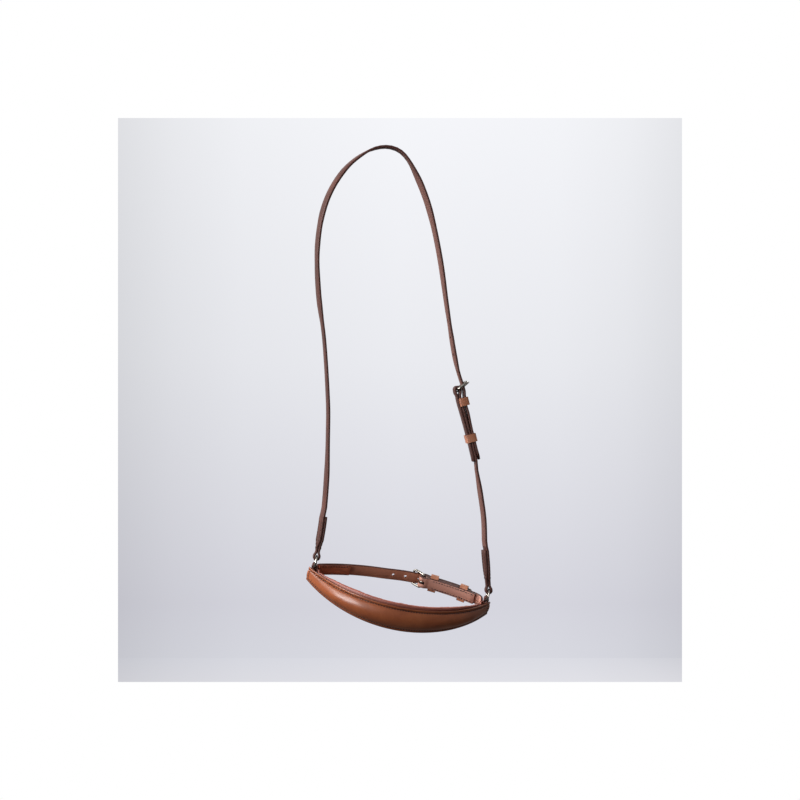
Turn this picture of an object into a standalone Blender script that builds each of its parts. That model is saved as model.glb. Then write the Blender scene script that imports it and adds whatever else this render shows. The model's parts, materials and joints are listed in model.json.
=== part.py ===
"""A padded cavesson noseband for a horse's bridle, hanging by its head strap.

The frame is +Z up and +X to the horse's near side, with the noseband's front towards -Y.
The origin is where the poll carries the head strap, under the top of its arch. The head strap
and the cheek strap lie in the XZ plane. The nose loop (nosepiece and chin strap) is modelled
level in its own frame, with x through both rings, and hangs from them at NOSE_ROLL and
NOSE_PITCH. Sizes are in millimetres times MM.
"""

import math

import bmesh
import bpy
from mathutils import Matrix, Vector

MM = 0.001

# Straps
STRAP_WIDTH = 13.0 * MM
STRAP_THICKNESS = 2.5 * MM
LAYER_GAP = 0.3 * MM
STRAP_STEP = 6.0 * MM
CLOSE_STEP = 2.2 * MM
FOLD_STEP = 1.6 * MM
EDGE_ROUNDING = 0.35 * MM
HOLE_DIAMETER = 3.4 * MM
TONGUE_HOLE_DIAMETER = 4.6 * MM
TIP_LENGTH = 13.0 * MM

# Head strap: points of its line in the XZ plane, from the left ring to the buckle, and then its
# billet as (distance down the cheek strap, how far it stands off that strap's line)
HEAD_ROUTE_MM = (
    (-69.6, -410), (-65.4, -362), (-63.9, -310), (-63.9, -280), (-68.0, -212), (-74.4, -158),
    (-75.2, -106), (-66.5, -61), (-47.0, -26.0), (-22.0, -5.0), (0.0, 1.25), (18.0, -5.2),
    (33.0, -28), (47.5, -65), (59.2, -117), (67.8, -176), (75.0, -222), (79.8, -245),
)
HEAD_BILLET_MM = ((3, 7.3), (15, 5.7), (28, 5.7), (41, 4.7), (56, 4.3), (70, 4.3), (81, 5.2))
HEAD_HOLE_SPACING = 19.0 * MM
HEAD_HOLES_BEFORE_TONGUE = 4
HEAD_HOLES_AFTER_TONGUE = 2

# Cheek strap, as points of the line between its two layers, from below the buckle to the ring
CHEEK_ROUTE_MM = (
    (81.2, -279), (84.4, -290), (90.0, -310), (95.6, -332), (100.4, -354), (106.0, -388),
    (108.8, -410), (109.9, -440),
)
CHEEK_BUCKLE_LAP = 82.0 * MM
RING_LAP = 45.0 * MM

# How far each strap is turned about its own line, as (distance from its start in mm, degrees)
HEAD_TURNS = (
    (8, 0), (20, 15), (85, 15), (125, 8), (255, 6), (280, 14), (302, 14), (325, 11), (345, 15),
    (362, 15), (380, 19), (425, 19), (450, 13), (478, 0), (515, 0), (545, -15), (574, -15),
    (600, -10), (645, -10), (682, -6), (705, -3), (722, -7), (742, -7), (758, 0),
)
CHEEK_TURNS = ((92, 0), (116, -9), (196, -9), (216, 0))

# Rings
RING_RADIUS = 6.0 * MM
RING_WIRE = 1.1 * MM
RING_FOLD_HALF_WIDTH = 3.4 * MM
RING_SLOT = 1.65 * MM
RING_FOLD_CLOSES = (1.2 * MM, 5.0 * MM)

# Buckles: heel bar to toe bar, side to side, and the wires of the frame and the tongue
BUCKLE_LENGTH = 13.0 * MM
BUCKLE_HALF_WIDTH = 8.7 * MM
BUCKLE_WIRE = 1.3 * MM
TONGUE_WIRE = 0.9 * MM
BUCKLE_SLOT = 1.6 * MM
BUCKLE_FOLD_CLOSES = (3.2 * MM, 7.5 * MM)
TONGUE_EYE = BUCKLE_WIRE + 0.2 * MM + TONGUE_WIRE
TONGUE_CROSSES_AT = 6.5 * MM
TONGUE_SLOT_WIDTH = 3.6 * MM
HEAD_BUCKLE_BAR = Vector((78.8 * MM, 0.0, -265.5 * MM))
HEAD_BUCKLE_TILT = math.radians(40.0)
CHIN_BUCKLE_BAR_X = 27.0 * MM
CHIN_BUCKLE_TILT = math.radians(30.0)

# Nose loop: where its ring axis is and how it hangs
NOSE_PIVOT = Vector((17.8 * MM, 0.0, -473.4 * MM))
NOSE_ROLL = math.radians(11.6)
NOSE_PITCH = math.radians(25.0)

# Nosepiece, in the loop's own frame: an arc in plan round (0, NOSE_CENTRE_Y)
NOSE_RADIUS = 130.0 * MM
NOSE_CENTRE_Y = 80.4 * MM
NOSE_HALF_ANGLE = math.radians(52.3)
NOSE_END_HEIGHT = 16.4 * MM
NOSE_MIDDLE_HEIGHT = 30.2 * MM
NOSE_END_LEVEL = -17.1 * MM
NOSE_MIDDLE_LEVEL = -22.2 * MM
NOSE_FLARE = 0.05
OUTER_THICKNESS = 2.0 * MM
FLANGE = 3.1 * MM
CROWN = 5.0 * MM
END_CROWN = 0.7 * MM
FILLER_BACK = -2.6 * MM
FILLER_GAP = 0.45 * MM
FILLER_REACH = 0.84
LINING_FRONT = -2.9 * MM
LINING_MIDDLE_THICKNESS = 6.7 * MM
LINING_END_THICKNESS = 2.3 * MM
LINING_PROUD = 1.1 * MM
NOSE_STATIONS = 36

# Hanger tabs, sewn between the outer leather and the lining
TAB_THICKNESS = 1.4 * MM
TAB_SLOT = 1.45 * MM
TAB_HALF_WIDTH = 3.0 * MM
TAB_DEPTH = 18.0 * MM
TAB_MIDDLE = -(OUTER_THICKNESS + LAYER_GAP + TAB_THICKNESS + LAYER_GAP / 2)
RING_X = math.sqrt((NOSE_RADIUS + TAB_MIDDLE) ** 2 - NOSE_CENTRE_Y**2)
TAB_ANGLE = math.asin(RING_X / (NOSE_RADIUS + TAB_MIDDLE))

# Chin strap, in the loop's own frame
CHIN_LEVEL = -15.8 * MM
CHIN_DEPTH = 31.0 * MM
CHIN_BEND = 5.0 * MM
CHIN_ANCHOR_LENGTH = 13.0 * MM
CHIN_ANCHOR_DROP = 5.0 * MM
CHIN_ANCHOR_OFFSET = -9.9 * MM
CHIN_CORNER = (CHIN_ANCHOR_LENGTH - 2 * MM, CHIN_ANCHOR_LENGTH + 13 * MM)
CHIN_LAP_END_X = 88.0 * MM
CHIN_TIP_X = 85.0 * MM
CHIN_HOLE_SPACING = 14.2 * MM
CHIN_LINING_START_Y = 9.0 * MM
CHIN_LINING_END_X = -56.5 * MM
CHIN_LINING_THICKNESS = 1.6 * MM

# Keepers
KEEPER_THICKNESS = 1.3 * MM
KEEPER_LENGTH = 9.0 * MM
KEEPER_PLAY = 0.35 * MM
SLIDING_PLAY = 0.5 * MM
HEAD_FIXED_KEEPER_AT = 15.0 * MM
HEAD_SLIDING_KEEPER_AT = 56.0 * MM
CHIN_KEEPERS_AT = (12.8 * MM, 47.0 * MM)
CHIN_KEEPER_PLAY = 0.9 * MM


def clear_scene():
    for obj in list(bpy.data.objects):
        bpy.data.objects.remove(obj, do_unlink=True)


def new_collection(name):
    collection = bpy.data.collections.new(name)
    bpy.context.scene.collection.children.link(collection)
    return collection


def material(name, colour, roughness, metallic=0.0):
    made = bpy.data.materials.new(name)
    made.use_nodes = True
    shader = made.node_tree.nodes["Principled BSDF"]
    shader.inputs["Base Color"].default_value = (*colour, 1.0)
    shader.inputs["Roughness"].default_value = roughness
    shader.inputs["Metallic"].default_value = metallic
    made.diffuse_color = (*colour, 1.0)
    return made


def smoothstep(low, high, value):
    t = min(1.0, max(0.0, (value - low) / (high - low)))
    return t * t * (3.0 - 2.0 * t)


class Route:
    """A smooth line in a strap's plane, read by the distance along it."""

    def __init__(self, points):
        self.points = [Vector(p) for p in points]
        self.places = [0.0]
        for a, b in zip(self.points, self.points[1:]):
            self.places.append(self.places[-1] + (b - a).length)
        self.length = self.places[-1]

    @classmethod
    def through(cls, knots, samples=24):
        """A Catmull-Rom line through the knots."""
        first = knots[0] + (knots[0] - knots[1])
        last = knots[-1] + (knots[-1] - knots[-2])
        padded = [first, *knots, last]
        points = []
        for i in range(1, len(padded) - 2):
            p0, p1, p2, p3 = padded[i - 1 : i + 3]
            reach = (p2 - p1).length
            before = (p2 - p0).normalized() * reach
            after = (p3 - p1).normalized() * reach
            for k in range(samples):
                t = k / samples
                h1 = 2 * t**3 - 3 * t**2 + 1
                h2 = t**3 - 2 * t**2 + t
                h3 = 3 * t**2 - 2 * t**3
                h4 = t**3 - t**2
                points.append(h1 * p1 + h2 * before + h3 * p2 + h4 * after)
        points.append(knots[-1].copy())
        return cls(points)

    def at(self, distance):
        """The point at a distance, the direction there, and the normal to the direction's left."""
        distance = min(self.length, max(0.0, distance))
        i = 1
        while i < len(self.places) - 1 and self.places[i] < distance:
            i += 1
        a, b = self.points[i - 1], self.points[i]
        share = (distance - self.places[i - 1]) / (self.places[i] - self.places[i - 1])
        behind = self.points[max(0, i - 2)]
        ahead = self.points[min(len(self.points) - 1, i + 1)]
        along = (ahead - behind).normalized()
        return a.lerp(b, share), along, Vector((-along.y, along.x))

    def nearest(self, point):
        """The distance along the line of its point nearest to a given one."""
        i = min(range(len(self.points)), key=lambda k: (self.points[k] - point).length)
        return self.places[i]


def stations(length, fold_at_start, fold_at_end, close=()):
    """Distances along a strap, close together where it opens round a ring or a bar.

    close lists (first, last) stretches in which they are close together too.
    """
    zone = 13.0 * MM
    low = zone if fold_at_start else 0.0
    high = length - zone if fold_at_end else length
    found = [k * FOLD_STEP for k in range(int(low / FOLD_STEP))] if fold_at_start else []
    count = max(1, round((high - low) / STRAP_STEP))
    found += [low + (high - low) * k / count for k in range(count + 1)]
    if fold_at_end:
        found += [length - k * FOLD_STEP for k in reversed(range(int(zone / FOLD_STEP)))]
    for first, last in close:
        steps = round((last - first) / CLOSE_STEP)
        found = [d for d in found if not first - CLOSE_STEP < d < last + CLOSE_STEP]
        found = sorted(found + spread(first, last, steps))
    return found


def layer_offset(distance, fold, thickness):
    """How far the strap's outer layer is from the line between its layers, near a fold."""
    lap, slot, closes = fold
    opened = slot + thickness / 2
    closed = (thickness + LAYER_GAP) / 2
    near = opened + (closed - opened) * smoothstep(*closes, distance)
    return near * (1.0 - smoothstep(lap, lap + 7.0 * MM, distance))


def folded_path(route, side, start=None, end=None, thickness=STRAP_THICKNESS, close=()):
    """The middle line of a strap whose ends turn back on themselves.

    start and end are (lap length, slot radius, where it closes) of a fold, or None for a plain
    end. The turned back layer lies to the route's left where side is 1, and to its right where
    it is -1.
    """
    points = []
    if start:
        lap, slot, _ = start
        for d in reversed(stations(lap, True, False)):
            point, _, normal = route.at(d)
            points.append(point + normal * side * layer_offset(d, start, thickness))
        points += fold_arc(route, 0.0, side, slot, thickness)
    for d in stations(route.length, bool(start), bool(end), close):
        point, _, normal = route.at(d)
        away = layer_offset(d, start, thickness) if start else 0.0
        if end:
            away += layer_offset(route.length - d, end, thickness)
        points.append(point - normal * side * away)
    if end:
        lap, slot, _ = end
        points += reversed(fold_arc(route, route.length, side, slot, thickness))
        for d in stations(lap, True, False):
            point, _, normal = route.at(route.length - d)
            points.append(point + normal * side * layer_offset(d, end, thickness))
    return [p for i, p in enumerate(points) if i == 0 or (p - points[i - 1]).length > 0.3 * MM]


def fold_arc(route, distance, side, slot, thickness, steps=8):
    """The half turn round a ring or a bar, from the turned back layer to the outer layer."""
    centre, along, normal = route.at(distance)
    outward = -along if distance == 0.0 else along
    radius = slot + thickness / 2
    turn = [math.pi * k / steps for k in range(1, steps)]
    return [centre + radius * (normal * side * math.cos(a) + outward * math.sin(a)) for a in turn]


def new_object(name, mesh, collection, made_of=None, parent=None):
    obj = bpy.data.objects.new(name, mesh)
    collection.objects.link(obj)
    if made_of:
        mesh.materials.append(made_of)
    obj.parent = parent
    return obj


def empty(name, collection, location=(0, 0, 0), rotation=(0, 0, 0), parent=None):
    obj = bpy.data.objects.new(name, None)
    obj.empty_display_size = 0.01
    obj.location = location
    obj.rotation_euler = rotation
    obj.parent = parent
    collection.objects.link(obj)
    return obj


def strap(name, path, made_of, collection, parent=None, width=STRAP_WIDTH, thickness=STRAP_THICKNESS):
    """A strap seen edge on: its line is extruded to the strap's width and given its thickness."""
    bm = bmesh.new()
    line = [bm.verts.new((p.x, -width / 2, p.y)) for p in path]
    edges = [bm.edges.new(pair) for pair in zip(line, line[1:])]
    side = bmesh.ops.extrude_edge_only(bm, edges=edges)
    moved = [v for v in side["geom"] if isinstance(v, bmesh.types.BMVert)]
    bmesh.ops.translate(bm, verts=moved, vec=(0, width, 0))
    mesh = bpy.data.meshes.new(name)
    bm.to_mesh(mesh)
    bm.free()
    obj = new_object(name, mesh, collection, made_of, parent)
    solid = obj.modifiers.new("Thickness", "SOLIDIFY")
    solid.thickness = thickness
    solid.offset = 0.0
    solid.use_even_offset = True
    bevel = obj.modifiers.new("Rounded edges", "BEVEL")
    bevel.width = EDGE_ROUNDING
    bevel.segments = 1
    bevel.limit_method = "ANGLE"
    bevel.angle_limit = math.radians(60)
    return obj


def narrow_near(obj, centre, half_width, near, far):
    """Draws the strap's sides in where it goes round a ring."""
    share = half_width / (STRAP_WIDTH / 2)
    for vertex in obj.data.vertices:
        distance = (Vector((vertex.co.x, vertex.co.z)) - centre).length
        vertex.co.y *= share + (1.0 - share) * smoothstep(near, far, distance)


def table(points, value):
    """Reads a row of (place, value) pairs, smoothly from one to the next."""
    for (low, before), (high, after) in zip(points, points[1:]):
        if value < high:
            return before + (after - before) * smoothstep(low, high, value)
    return points[-1][1]


def narrow_anchor(obj, route):
    """Draws in the upper edge of a chin strap's end, where it is sewn to the nosepiece."""
    for vertex in obj.data.vertices:
        if vertex.co.y > 0.0:
            distance = route.nearest(Vector((vertex.co.x, vertex.co.z)))
            share = smoothstep(CHIN_ANCHOR_LENGTH - 2 * MM, CHIN_ANCHOR_LENGTH + 8 * MM, distance)
            vertex.co.y -= CHIN_ANCHOR_DROP * (1.0 - share)


def turn_about(obj, route, turns):
    """Turns a strap about its own line, so that one of its faces looks a little to the front."""
    for vertex in obj.data.vertices:
        distance = route.nearest(Vector((vertex.co.x, vertex.co.z)))
        angle = math.radians(table(turns, distance / MM))
        if angle:
            centre, along, _ = route.at(distance)
            middle = Vector((centre.x, 0.0, centre.y))
            axis = Vector((along.x, 0.0, along.y))
            vertex.co = middle + Matrix.Rotation(angle, 3, axis) @ (vertex.co - middle)


def cut(obj, cutter):
    boolean = obj.modifiers.new("Cut " + cutter.name, "BOOLEAN")
    boolean.operation = "DIFFERENCE"
    boolean.object = cutter


def box_cutter(name, size, matrix, collection, parent=None):
    bm = bmesh.new()
    bmesh.ops.create_cube(bm, size=1.0)
    bmesh.ops.scale(bm, vec=size, verts=bm.verts)
    return cutter_from(name, bm, matrix, collection, parent)


def round_cutter(name, diameter, depth, matrix, collection, parent=None):
    bm = bmesh.new()
    bmesh.ops.create_cone(
        bm, cap_ends=True, segments=12, radius1=diameter / 2, radius2=diameter / 2, depth=depth
    )
    return cutter_from(name, bm, matrix, collection, parent)


def cutter_from(name, bm, matrix, collection, parent):
    mesh = bpy.data.meshes.new(name)
    bm.to_mesh(mesh)
    bm.free()
    obj = new_object(name, mesh, collection, parent=parent)
    obj.matrix_local = matrix
    obj.display_type = "WIRE"
    obj.hide_render = True
    return obj


def in_plane(point, along, across=0.0):
    """A matrix at a point of the strap's plane: z along the strap, x through it, y over its width."""
    direction = Vector((along.x, 0.0, along.y))
    through = Vector((along.y, 0.0, -along.x))
    place = Matrix.Translation((point.x, across, point.y))
    return place @ Matrix((through, Vector((0, 1, 0)), direction)).transposed().to_4x4()


def punch_holes(obj, route, places, cutters, parent=None):
    for i, place in enumerate(places):
        point, along, _ = route.at(place)
        drill = in_plane(point, along) @ Matrix.Rotation(math.pi / 2, 4, "Y")
        cut(obj, round_cutter(f"{obj.name}_hole_{i}", HOLE_DIAMETER, 8 * MM, drill, cutters, parent))


def point_tip(obj, route, cutters, parent=None):
    """Cuts the strap's end to a point with two facets a side."""
    tip, along, _ = route.at(route.length)
    facets = ((0.0, math.radians(44)), (0.42 * TIP_LENGTH, math.radians(20)))
    for side in (-1, 1):
        for i, (back, angle) in enumerate(facets):
            reach = 0.9 * MM + back * math.tan(math.radians(44))
            frame = in_plane(tip - along * back, along, side * reach)
            frame @= Matrix.Rotation(side * angle, 4, "X") @ Matrix.Translation((0, side * 10 * MM, 0))
            size = (8 * MM, 20 * MM, 40 * MM)
            cut(obj, box_cutter(f"{obj.name}_tip_{side}_{i}", size, frame, cutters, parent))


def flat_outline(name, loops, depth, made_of, collection, parent):
    """Closed loops filled as one flat outline, and extruded to both sides of its plane."""
    curve = bpy.data.curves.new(name, "CURVE")
    curve.dimensions = "2D"
    curve.fill_mode = "BOTH"
    curve.extrude = depth / 2
    for loop in loops:
        spline = curve.splines.new("POLY")
        spline.points.add(len(loop) - 1)
        for target, (x, y) in zip(spline.points, loop):
            target.co = (x, y, 0.0, 1.0)
        spline.use_cyclic_u = True
    return mesh_of_curve(name, curve, made_of, collection, parent)


def mesh_of_curve(name, curve, made_of, collection, parent):
    """Makes a curve a mesh with its caps welded on."""
    drawn = bpy.data.objects.new(name + "_curve", curve)
    collection.objects.link(drawn)
    graph = bpy.context.evaluated_depsgraph_get()
    mesh = bpy.data.meshes.new_from_object(drawn.evaluated_get(graph))
    bpy.data.objects.remove(drawn, do_unlink=True)
    bm = bmesh.new()
    bm.from_mesh(mesh)
    bmesh.ops.remove_doubles(bm, verts=bm.verts, dist=0.01 * MM)
    bmesh.ops.recalc_face_normals(bm, faces=bm.faces)
    bm.to_mesh(mesh)
    bm.free()
    mesh.name = name
    return new_object(name, mesh, collection, made_of, parent)


def rounded_rectangle(low, high, radius, corner_points=4):
    """The corners of a rounded rectangle between two opposite corners, anticlockwise."""
    loop = []
    for quarter, (x, y) in enumerate(((1, 1), (-1, 1), (-1, -1), (1, -1))):
        centre_x = (high[0] - radius) if x > 0 else (low[0] + radius)
        centre_y = (high[1] - radius) if y > 0 else (low[1] + radius)
        for k in range(corner_points):
            angle = math.pi / 2 * (quarter + k / (corner_points - 1))
            loop.append((centre_x + radius * math.cos(angle), centre_y + radius * math.sin(angle)))
    return loop


def wire(name, points, radius, made_of, collection, parent, closed=False):
    """A round wire through the points, as a curve with a bevel and filled caps."""
    curve = bpy.data.curves.new(name, "CURVE")
    curve.dimensions = "3D"
    curve.bevel_depth = radius
    curve.bevel_resolution = 2
    curve.use_fill_caps = not closed
    spline = curve.splines.new("POLY")
    spline.points.add(len(points) - 1)
    for target, point in zip(spline.points, points):
        target.co = (*point, 1.0)
    spline.use_cyclic_u = closed
    obj = mesh_of_curve(name, curve, made_of, collection, parent)
    obj.data.shade_smooth()
    return obj


def make_ring(name, x, made_of, collection, parent):
    bpy.ops.mesh.primitive_torus_add(
        major_radius=RING_RADIUS, minor_radius=RING_WIRE, major_segments=32, minor_segments=10
    )
    made = bpy.context.object
    mesh = made.data
    bpy.data.objects.remove(made, do_unlink=True)
    mesh.shade_smooth()
    mesh.name = name
    obj = new_object(name, mesh, collection, made_of, parent)
    obj.location = (x, 0, 0)
    obj.rotation_euler = (0, math.pi / 2, 0)
    return obj


def make_buckle(prefix, bar, made_of, collection):
    """A wire frame and its tongue. Local x runs from the heel bar to the toe, y along the bar."""
    frame_loop = rounded_rectangle(
        (0.0, -BUCKLE_HALF_WIDTH), (BUCKLE_LENGTH, BUCKLE_HALF_WIDTH), 3.0 * MM, corner_points=5
    )
    ring = [(x, y, 0.0) for x, y in frame_loop]
    wire(prefix + "_buckle_frame", ring, BUCKLE_WIRE, made_of, collection, bar, closed=True)
    turn = [math.radians(a) for a in range(335, 89, -35)]
    curl = [(TONGUE_EYE * math.cos(a), 0.0, TONGUE_EYE * math.sin(a)) for a in turn]
    reach = BUCKLE_LENGTH + BUCKLE_WIRE
    shank = [(x, 0.0, TONGUE_EYE) for x in (0.0, reach / 2, reach)]
    end = [(reach + 1.6 * MM, 0.0, TONGUE_EYE - 0.25 * MM)]
    wire(prefix + "_buckle_tongue", curl + shank + end, TONGUE_WIRE, made_of, collection, bar)


def cut_tongue_slot(obj, bar_matrix, cutters, parent=None):
    """The oblong hole that lets the tongue's eye turn on the heel bar."""
    size = (9 * MM, TONGUE_SLOT_WIDTH, 9 * MM)
    cut(obj, box_cutter(obj.name + "_tongue_slot", size, bar_matrix, cutters, parent))


def cut_tongue_hole(obj, bar_matrix, cutters, parent=None):
    """The punched hole that the tongue goes through."""
    crossing = Matrix.Translation((TONGUE_CROSSES_AT, 0, TONGUE_EYE))
    drill = bar_matrix @ crossing @ Matrix.Rotation(math.pi / 2, 4, "Y")
    name = obj.name + "_tongue_hole"
    cut(obj, round_cutter(name, TONGUE_HOLE_DIAMETER, 13 * MM, drill, cutters, parent))


def make_keeper(name, place, low, high, made_of, collection, parent, half_width=None):
    """A leather band round the strap: x runs through the strap, from low to high inside the band."""
    half = half_width or STRAP_WIDTH / 2 + KEEPER_PLAY
    inner = rounded_rectangle((low, -half), (high, half), 0.8 * MM)
    outer = rounded_rectangle(
        (low - KEEPER_THICKNESS, -half - KEEPER_THICKNESS),
        (high + KEEPER_THICKNESS, half + KEEPER_THICKNESS),
        1.7 * MM,
    )
    obj = flat_outline(name, (outer, inner), KEEPER_LENGTH, made_of, collection, parent)
    obj.matrix_local = place
    return obj


def keeper_room(route, place):
    """How far out from the keeper's middle the strap under it gets, along the keeper's length."""
    local = [place.inverted() @ Vector((p.x, 0.0, p.y)) for p in route.points]
    half = KEEPER_LENGTH / 2 + CLOSE_STEP
    return max(p.x for p in local if abs(p.z) < half and 0.0 < p.x < 15 * MM) + STRAP_THICKNESS / 2


def seat_keeper(obj, name, place, low, cutters, parent=None):
    """Presses the keeper's sewn side into the two layers that hold it."""
    depth = KEEPER_THICKNESS + 0.3 * MM
    middle = place @ Matrix.Translation((low - KEEPER_THICKNESS / 2, 0, 0))
    size = (depth, STRAP_WIDTH + 4 * MM, KEEPER_LENGTH + 0.6 * MM)
    cut(obj, box_cutter(name + "_seat", size, middle, cutters, parent))


def ring_centre(side):
    """The centre of a ring in the strap's plane: side -1 is the left one, 1 the right one."""
    reach = Vector((math.cos(NOSE_ROLL), -math.sin(NOSE_ROLL))) * RING_X * side
    return Vector((NOSE_PIVOT.x, NOSE_PIVOT.z)) + reach


def fold_centre(side):
    """Where the strap's fold at a ring is centred, so that it clears the wire's curve."""
    up = Vector((math.sin(NOSE_ROLL), math.cos(NOSE_ROLL)))
    inner = RING_RADIUS - RING_WIRE
    level = math.sqrt(inner**2 - RING_FOLD_HALF_WIDTH**2) - 0.2 * MM
    return ring_centre(side) + up * (level + RING_SLOT)


def make_head_strap(leather, parts, cutters, bar_matrix, cheek_route):
    knots = [fold_centre(-1)] + [Vector(p) * MM for p in HEAD_ROUTE_MM]
    for down, off in HEAD_BILLET_MM:
        point, _, normal = cheek_route.at(down * MM)
        knots.append(point + normal * off * MM)
    route = Route.through(knots)
    path = folded_path(route, side=-1, start=(RING_LAP, RING_SLOT, RING_FOLD_CLOSES))
    obj = strap("head_strap", path, leather, parts)
    narrow_near(obj, fold_centre(-1), RING_FOLD_HALF_WIDTH, 6 * MM, 20 * MM)
    turn_about(obj, route, HEAD_TURNS)
    crossing = bar_matrix @ Vector((TONGUE_CROSSES_AT, 0, TONGUE_EYE))
    middle = route.nearest(Vector((crossing.x, crossing.z)))
    steps = [k for k in range(-HEAD_HOLES_BEFORE_TONGUE, HEAD_HOLES_AFTER_TONGUE + 1) if k]
    punch_holes(obj, route, [middle + k * HEAD_HOLE_SPACING for k in steps], cutters)
    cut_tongue_hole(obj, bar_matrix, cutters)
    point_tip(obj, route, cutters)
    return route, obj


def make_cheek_strap(leather, parts, cutters, bar_matrix):
    bar = Vector((HEAD_BUCKLE_BAR.x, HEAD_BUCKLE_BAR.z))
    knots = [bar] + [Vector(p) * MM for p in CHEEK_ROUTE_MM] + [fold_centre(1)]
    route = Route.through(knots)
    at_bar = (CHEEK_BUCKLE_LAP, BUCKLE_SLOT, BUCKLE_FOLD_CLOSES)
    at_ring = (RING_LAP, RING_SLOT, RING_FOLD_CLOSES)
    path = folded_path(route, side=-1, start=at_bar, end=at_ring)
    obj = strap("cheek_strap", path, leather, parts)
    narrow_near(obj, fold_centre(1), RING_FOLD_HALF_WIDTH, 6 * MM, 20 * MM)
    turn_about(obj, route, CHEEK_TURNS)
    cut_tongue_slot(obj, bar_matrix, cutters)
    return route, obj


def chin_line(stop_x):
    """The chin strap's line from the nosepiece's right end round to a given x, seen from above."""
    radius = NOSE_RADIUS + CHIN_ANCHOR_OFFSET
    last = NOSE_HALF_ANGLE - math.radians(1.5)
    first = last - CHIN_ANCHOR_LENGTH / radius
    centre = Vector((0.0, NOSE_CENTRE_Y))
    points = [centre + radius * Vector((math.sin(a), -math.cos(a))) for a in spread(first, last, 12)]
    hub = points[-1] + CHIN_BEND * Vector((-math.sin(last), math.cos(last)))
    rise = CHIN_DEPTH - hub.y
    rear = (hub.x**2 + rise**2 - CHIN_BEND**2) / (2 * rise - 2 * CHIN_BEND)
    rear_centre = Vector((0.0, CHIN_DEPTH - rear))
    leave = hub - rear_centre
    turned = math.atan2(leave.y, leave.x)
    for angle in spread(last - math.pi / 2, turned, 12)[1:]:
        points.append(hub + CHIN_BEND * Vector((math.cos(angle), math.sin(angle))))
    for angle in spread(turned, math.acos(stop_x / rear), 80)[1:]:
        points.append(rear_centre + rear * Vector((math.cos(angle), math.sin(angle))))
    return points


def spread(low, high, steps):
    return [low + (high - low) * k / steps for k in range(steps + 1)]


def left_line(stop_x, offset_at):
    """The same line from the nosepiece's left end, moved outwards by what offset_at gives for x."""
    plain = Route([Vector((-p.x, p.y)) for p in chin_line(-stop_x)])
    points = []
    for place in plain.places:
        point, _, normal = plain.at(place)
        points.append(point + normal * offset_at(point.x))
    return points


def billet_offset(x):
    """The billet leaves the chin strap's line to pass inside the toe bar and over the heel bar."""
    inside_toe = 3.4 * MM
    over_bar = BUCKLE_SLOT + STRAP_THICKNESS * 1.5 + 0.4 * MM
    over_strap = (STRAP_THICKNESS + LAYER_GAP) * 1.5
    past_bar = x - CHIN_BUCKLE_BAR_X
    rise = inside_toe * smoothstep(-48 * MM, -10 * MM, past_bar)
    rise += (over_bar - inside_toe) * smoothstep(-10 * MM, -1 * MM, past_bar)
    return rise - (over_bar - over_strap) * smoothstep(3.5 * MM, 9 * MM, past_bar)


def lining_offset(_):
    return -((STRAP_THICKNESS + CHIN_LINING_THICKNESS) / 2 + LAYER_GAP)


def laid(points):
    """From the loop's x and y to the x and z of the turned plane that the chin strap is drawn in."""
    return [Vector((p.x, -p.y)) for p in points]


def make_chin_strap(leather, lining, steel, parts, cutters, pivot):
    """The billet from the left with its lining, the buckle strap from the right, and the keepers."""
    plane = empty("chin_plane", parts, (0, 0, CHIN_LEVEL), (math.pi / 2, 0, 0), pivot)
    line = Route(laid(left_line(CHIN_TIP_X, billet_offset)))
    middle = line.nearest(Vector((CHIN_BUCKLE_BAR_X - 3.3 * MM, -CHIN_DEPTH)))
    close = [CHIN_CORNER, (middle - 10 * MM, middle + 14 * MM)]
    billet = strap("chin_billet", folded_path(line, side=1, close=close), leather, parts, plane)
    narrow_anchor(billet, line)
    lined = left_line(CHIN_LINING_END_X, lining_offset)
    lined = Route(laid([p for p in lined if p.y > CHIN_LINING_START_Y]))
    width = STRAP_WIDTH - 0.8 * MM
    path = folded_path(lined, side=1, close=[(0.0, 13 * MM)])
    strap("chin_billet_lining", path, lining, parts, plane, width, CHIN_LINING_THICKNESS)

    route = Route(laid(chin_line(CHIN_BUCKLE_BAR_X)))
    lap = (CHIN_LAP_END_X - CHIN_BUCKLE_BAR_X) * 1.02
    at_bar = (lap, BUCKLE_SLOT, BUCKLE_FOLD_CLOSES)
    path = folded_path(route, side=-1, end=at_bar, close=[CHIN_CORNER])
    buckle_strap = strap("chin_buckle_strap", path, leather, parts, plane)
    narrow_anchor(buckle_strap, route)

    bar, along, normal = route.at(route.length)
    towards = Vector((along.x, 0, along.y))
    outward = Vector((normal.x, 0, normal.y))
    bar_matrix = bar_frame(Vector((bar.x, 0, bar.y)), towards, outward, CHIN_BUCKLE_TILT)
    chin_bar = empty("chin_buckle_pivot", parts, parent=plane)
    chin_bar.matrix_local = bar_matrix
    make_buckle("chin", chin_bar, steel, parts)
    cut_tongue_slot(buckle_strap, bar_matrix, cutters, plane)
    cut_tongue_hole(billet, bar_matrix, cutters, plane)
    steps = (-2, -1, 1, 2)
    punch_holes(billet, line, [middle + k * CHIN_HOLE_SPACING for k in steps], cutters, plane)
    point_tip(billet, line, cutters, plane)

    for number, back in enumerate(CHIN_KEEPERS_AT, start=1):
        point, along, _ = route.at(route.length - back)
        place = in_plane(point, along * -1)
        low = KEEPER_THICKNESS / 2
        name = f"chin_keeper_{number}"
        high = keeper_room(line, place) + KEEPER_PLAY
        half_width = STRAP_WIDTH / 2 + CHIN_KEEPER_PLAY
        make_keeper(name, place, low, high, leather, parts, plane, half_width)
        seat_keeper(buckle_strap, name, place, low, cutters, plane)


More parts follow.
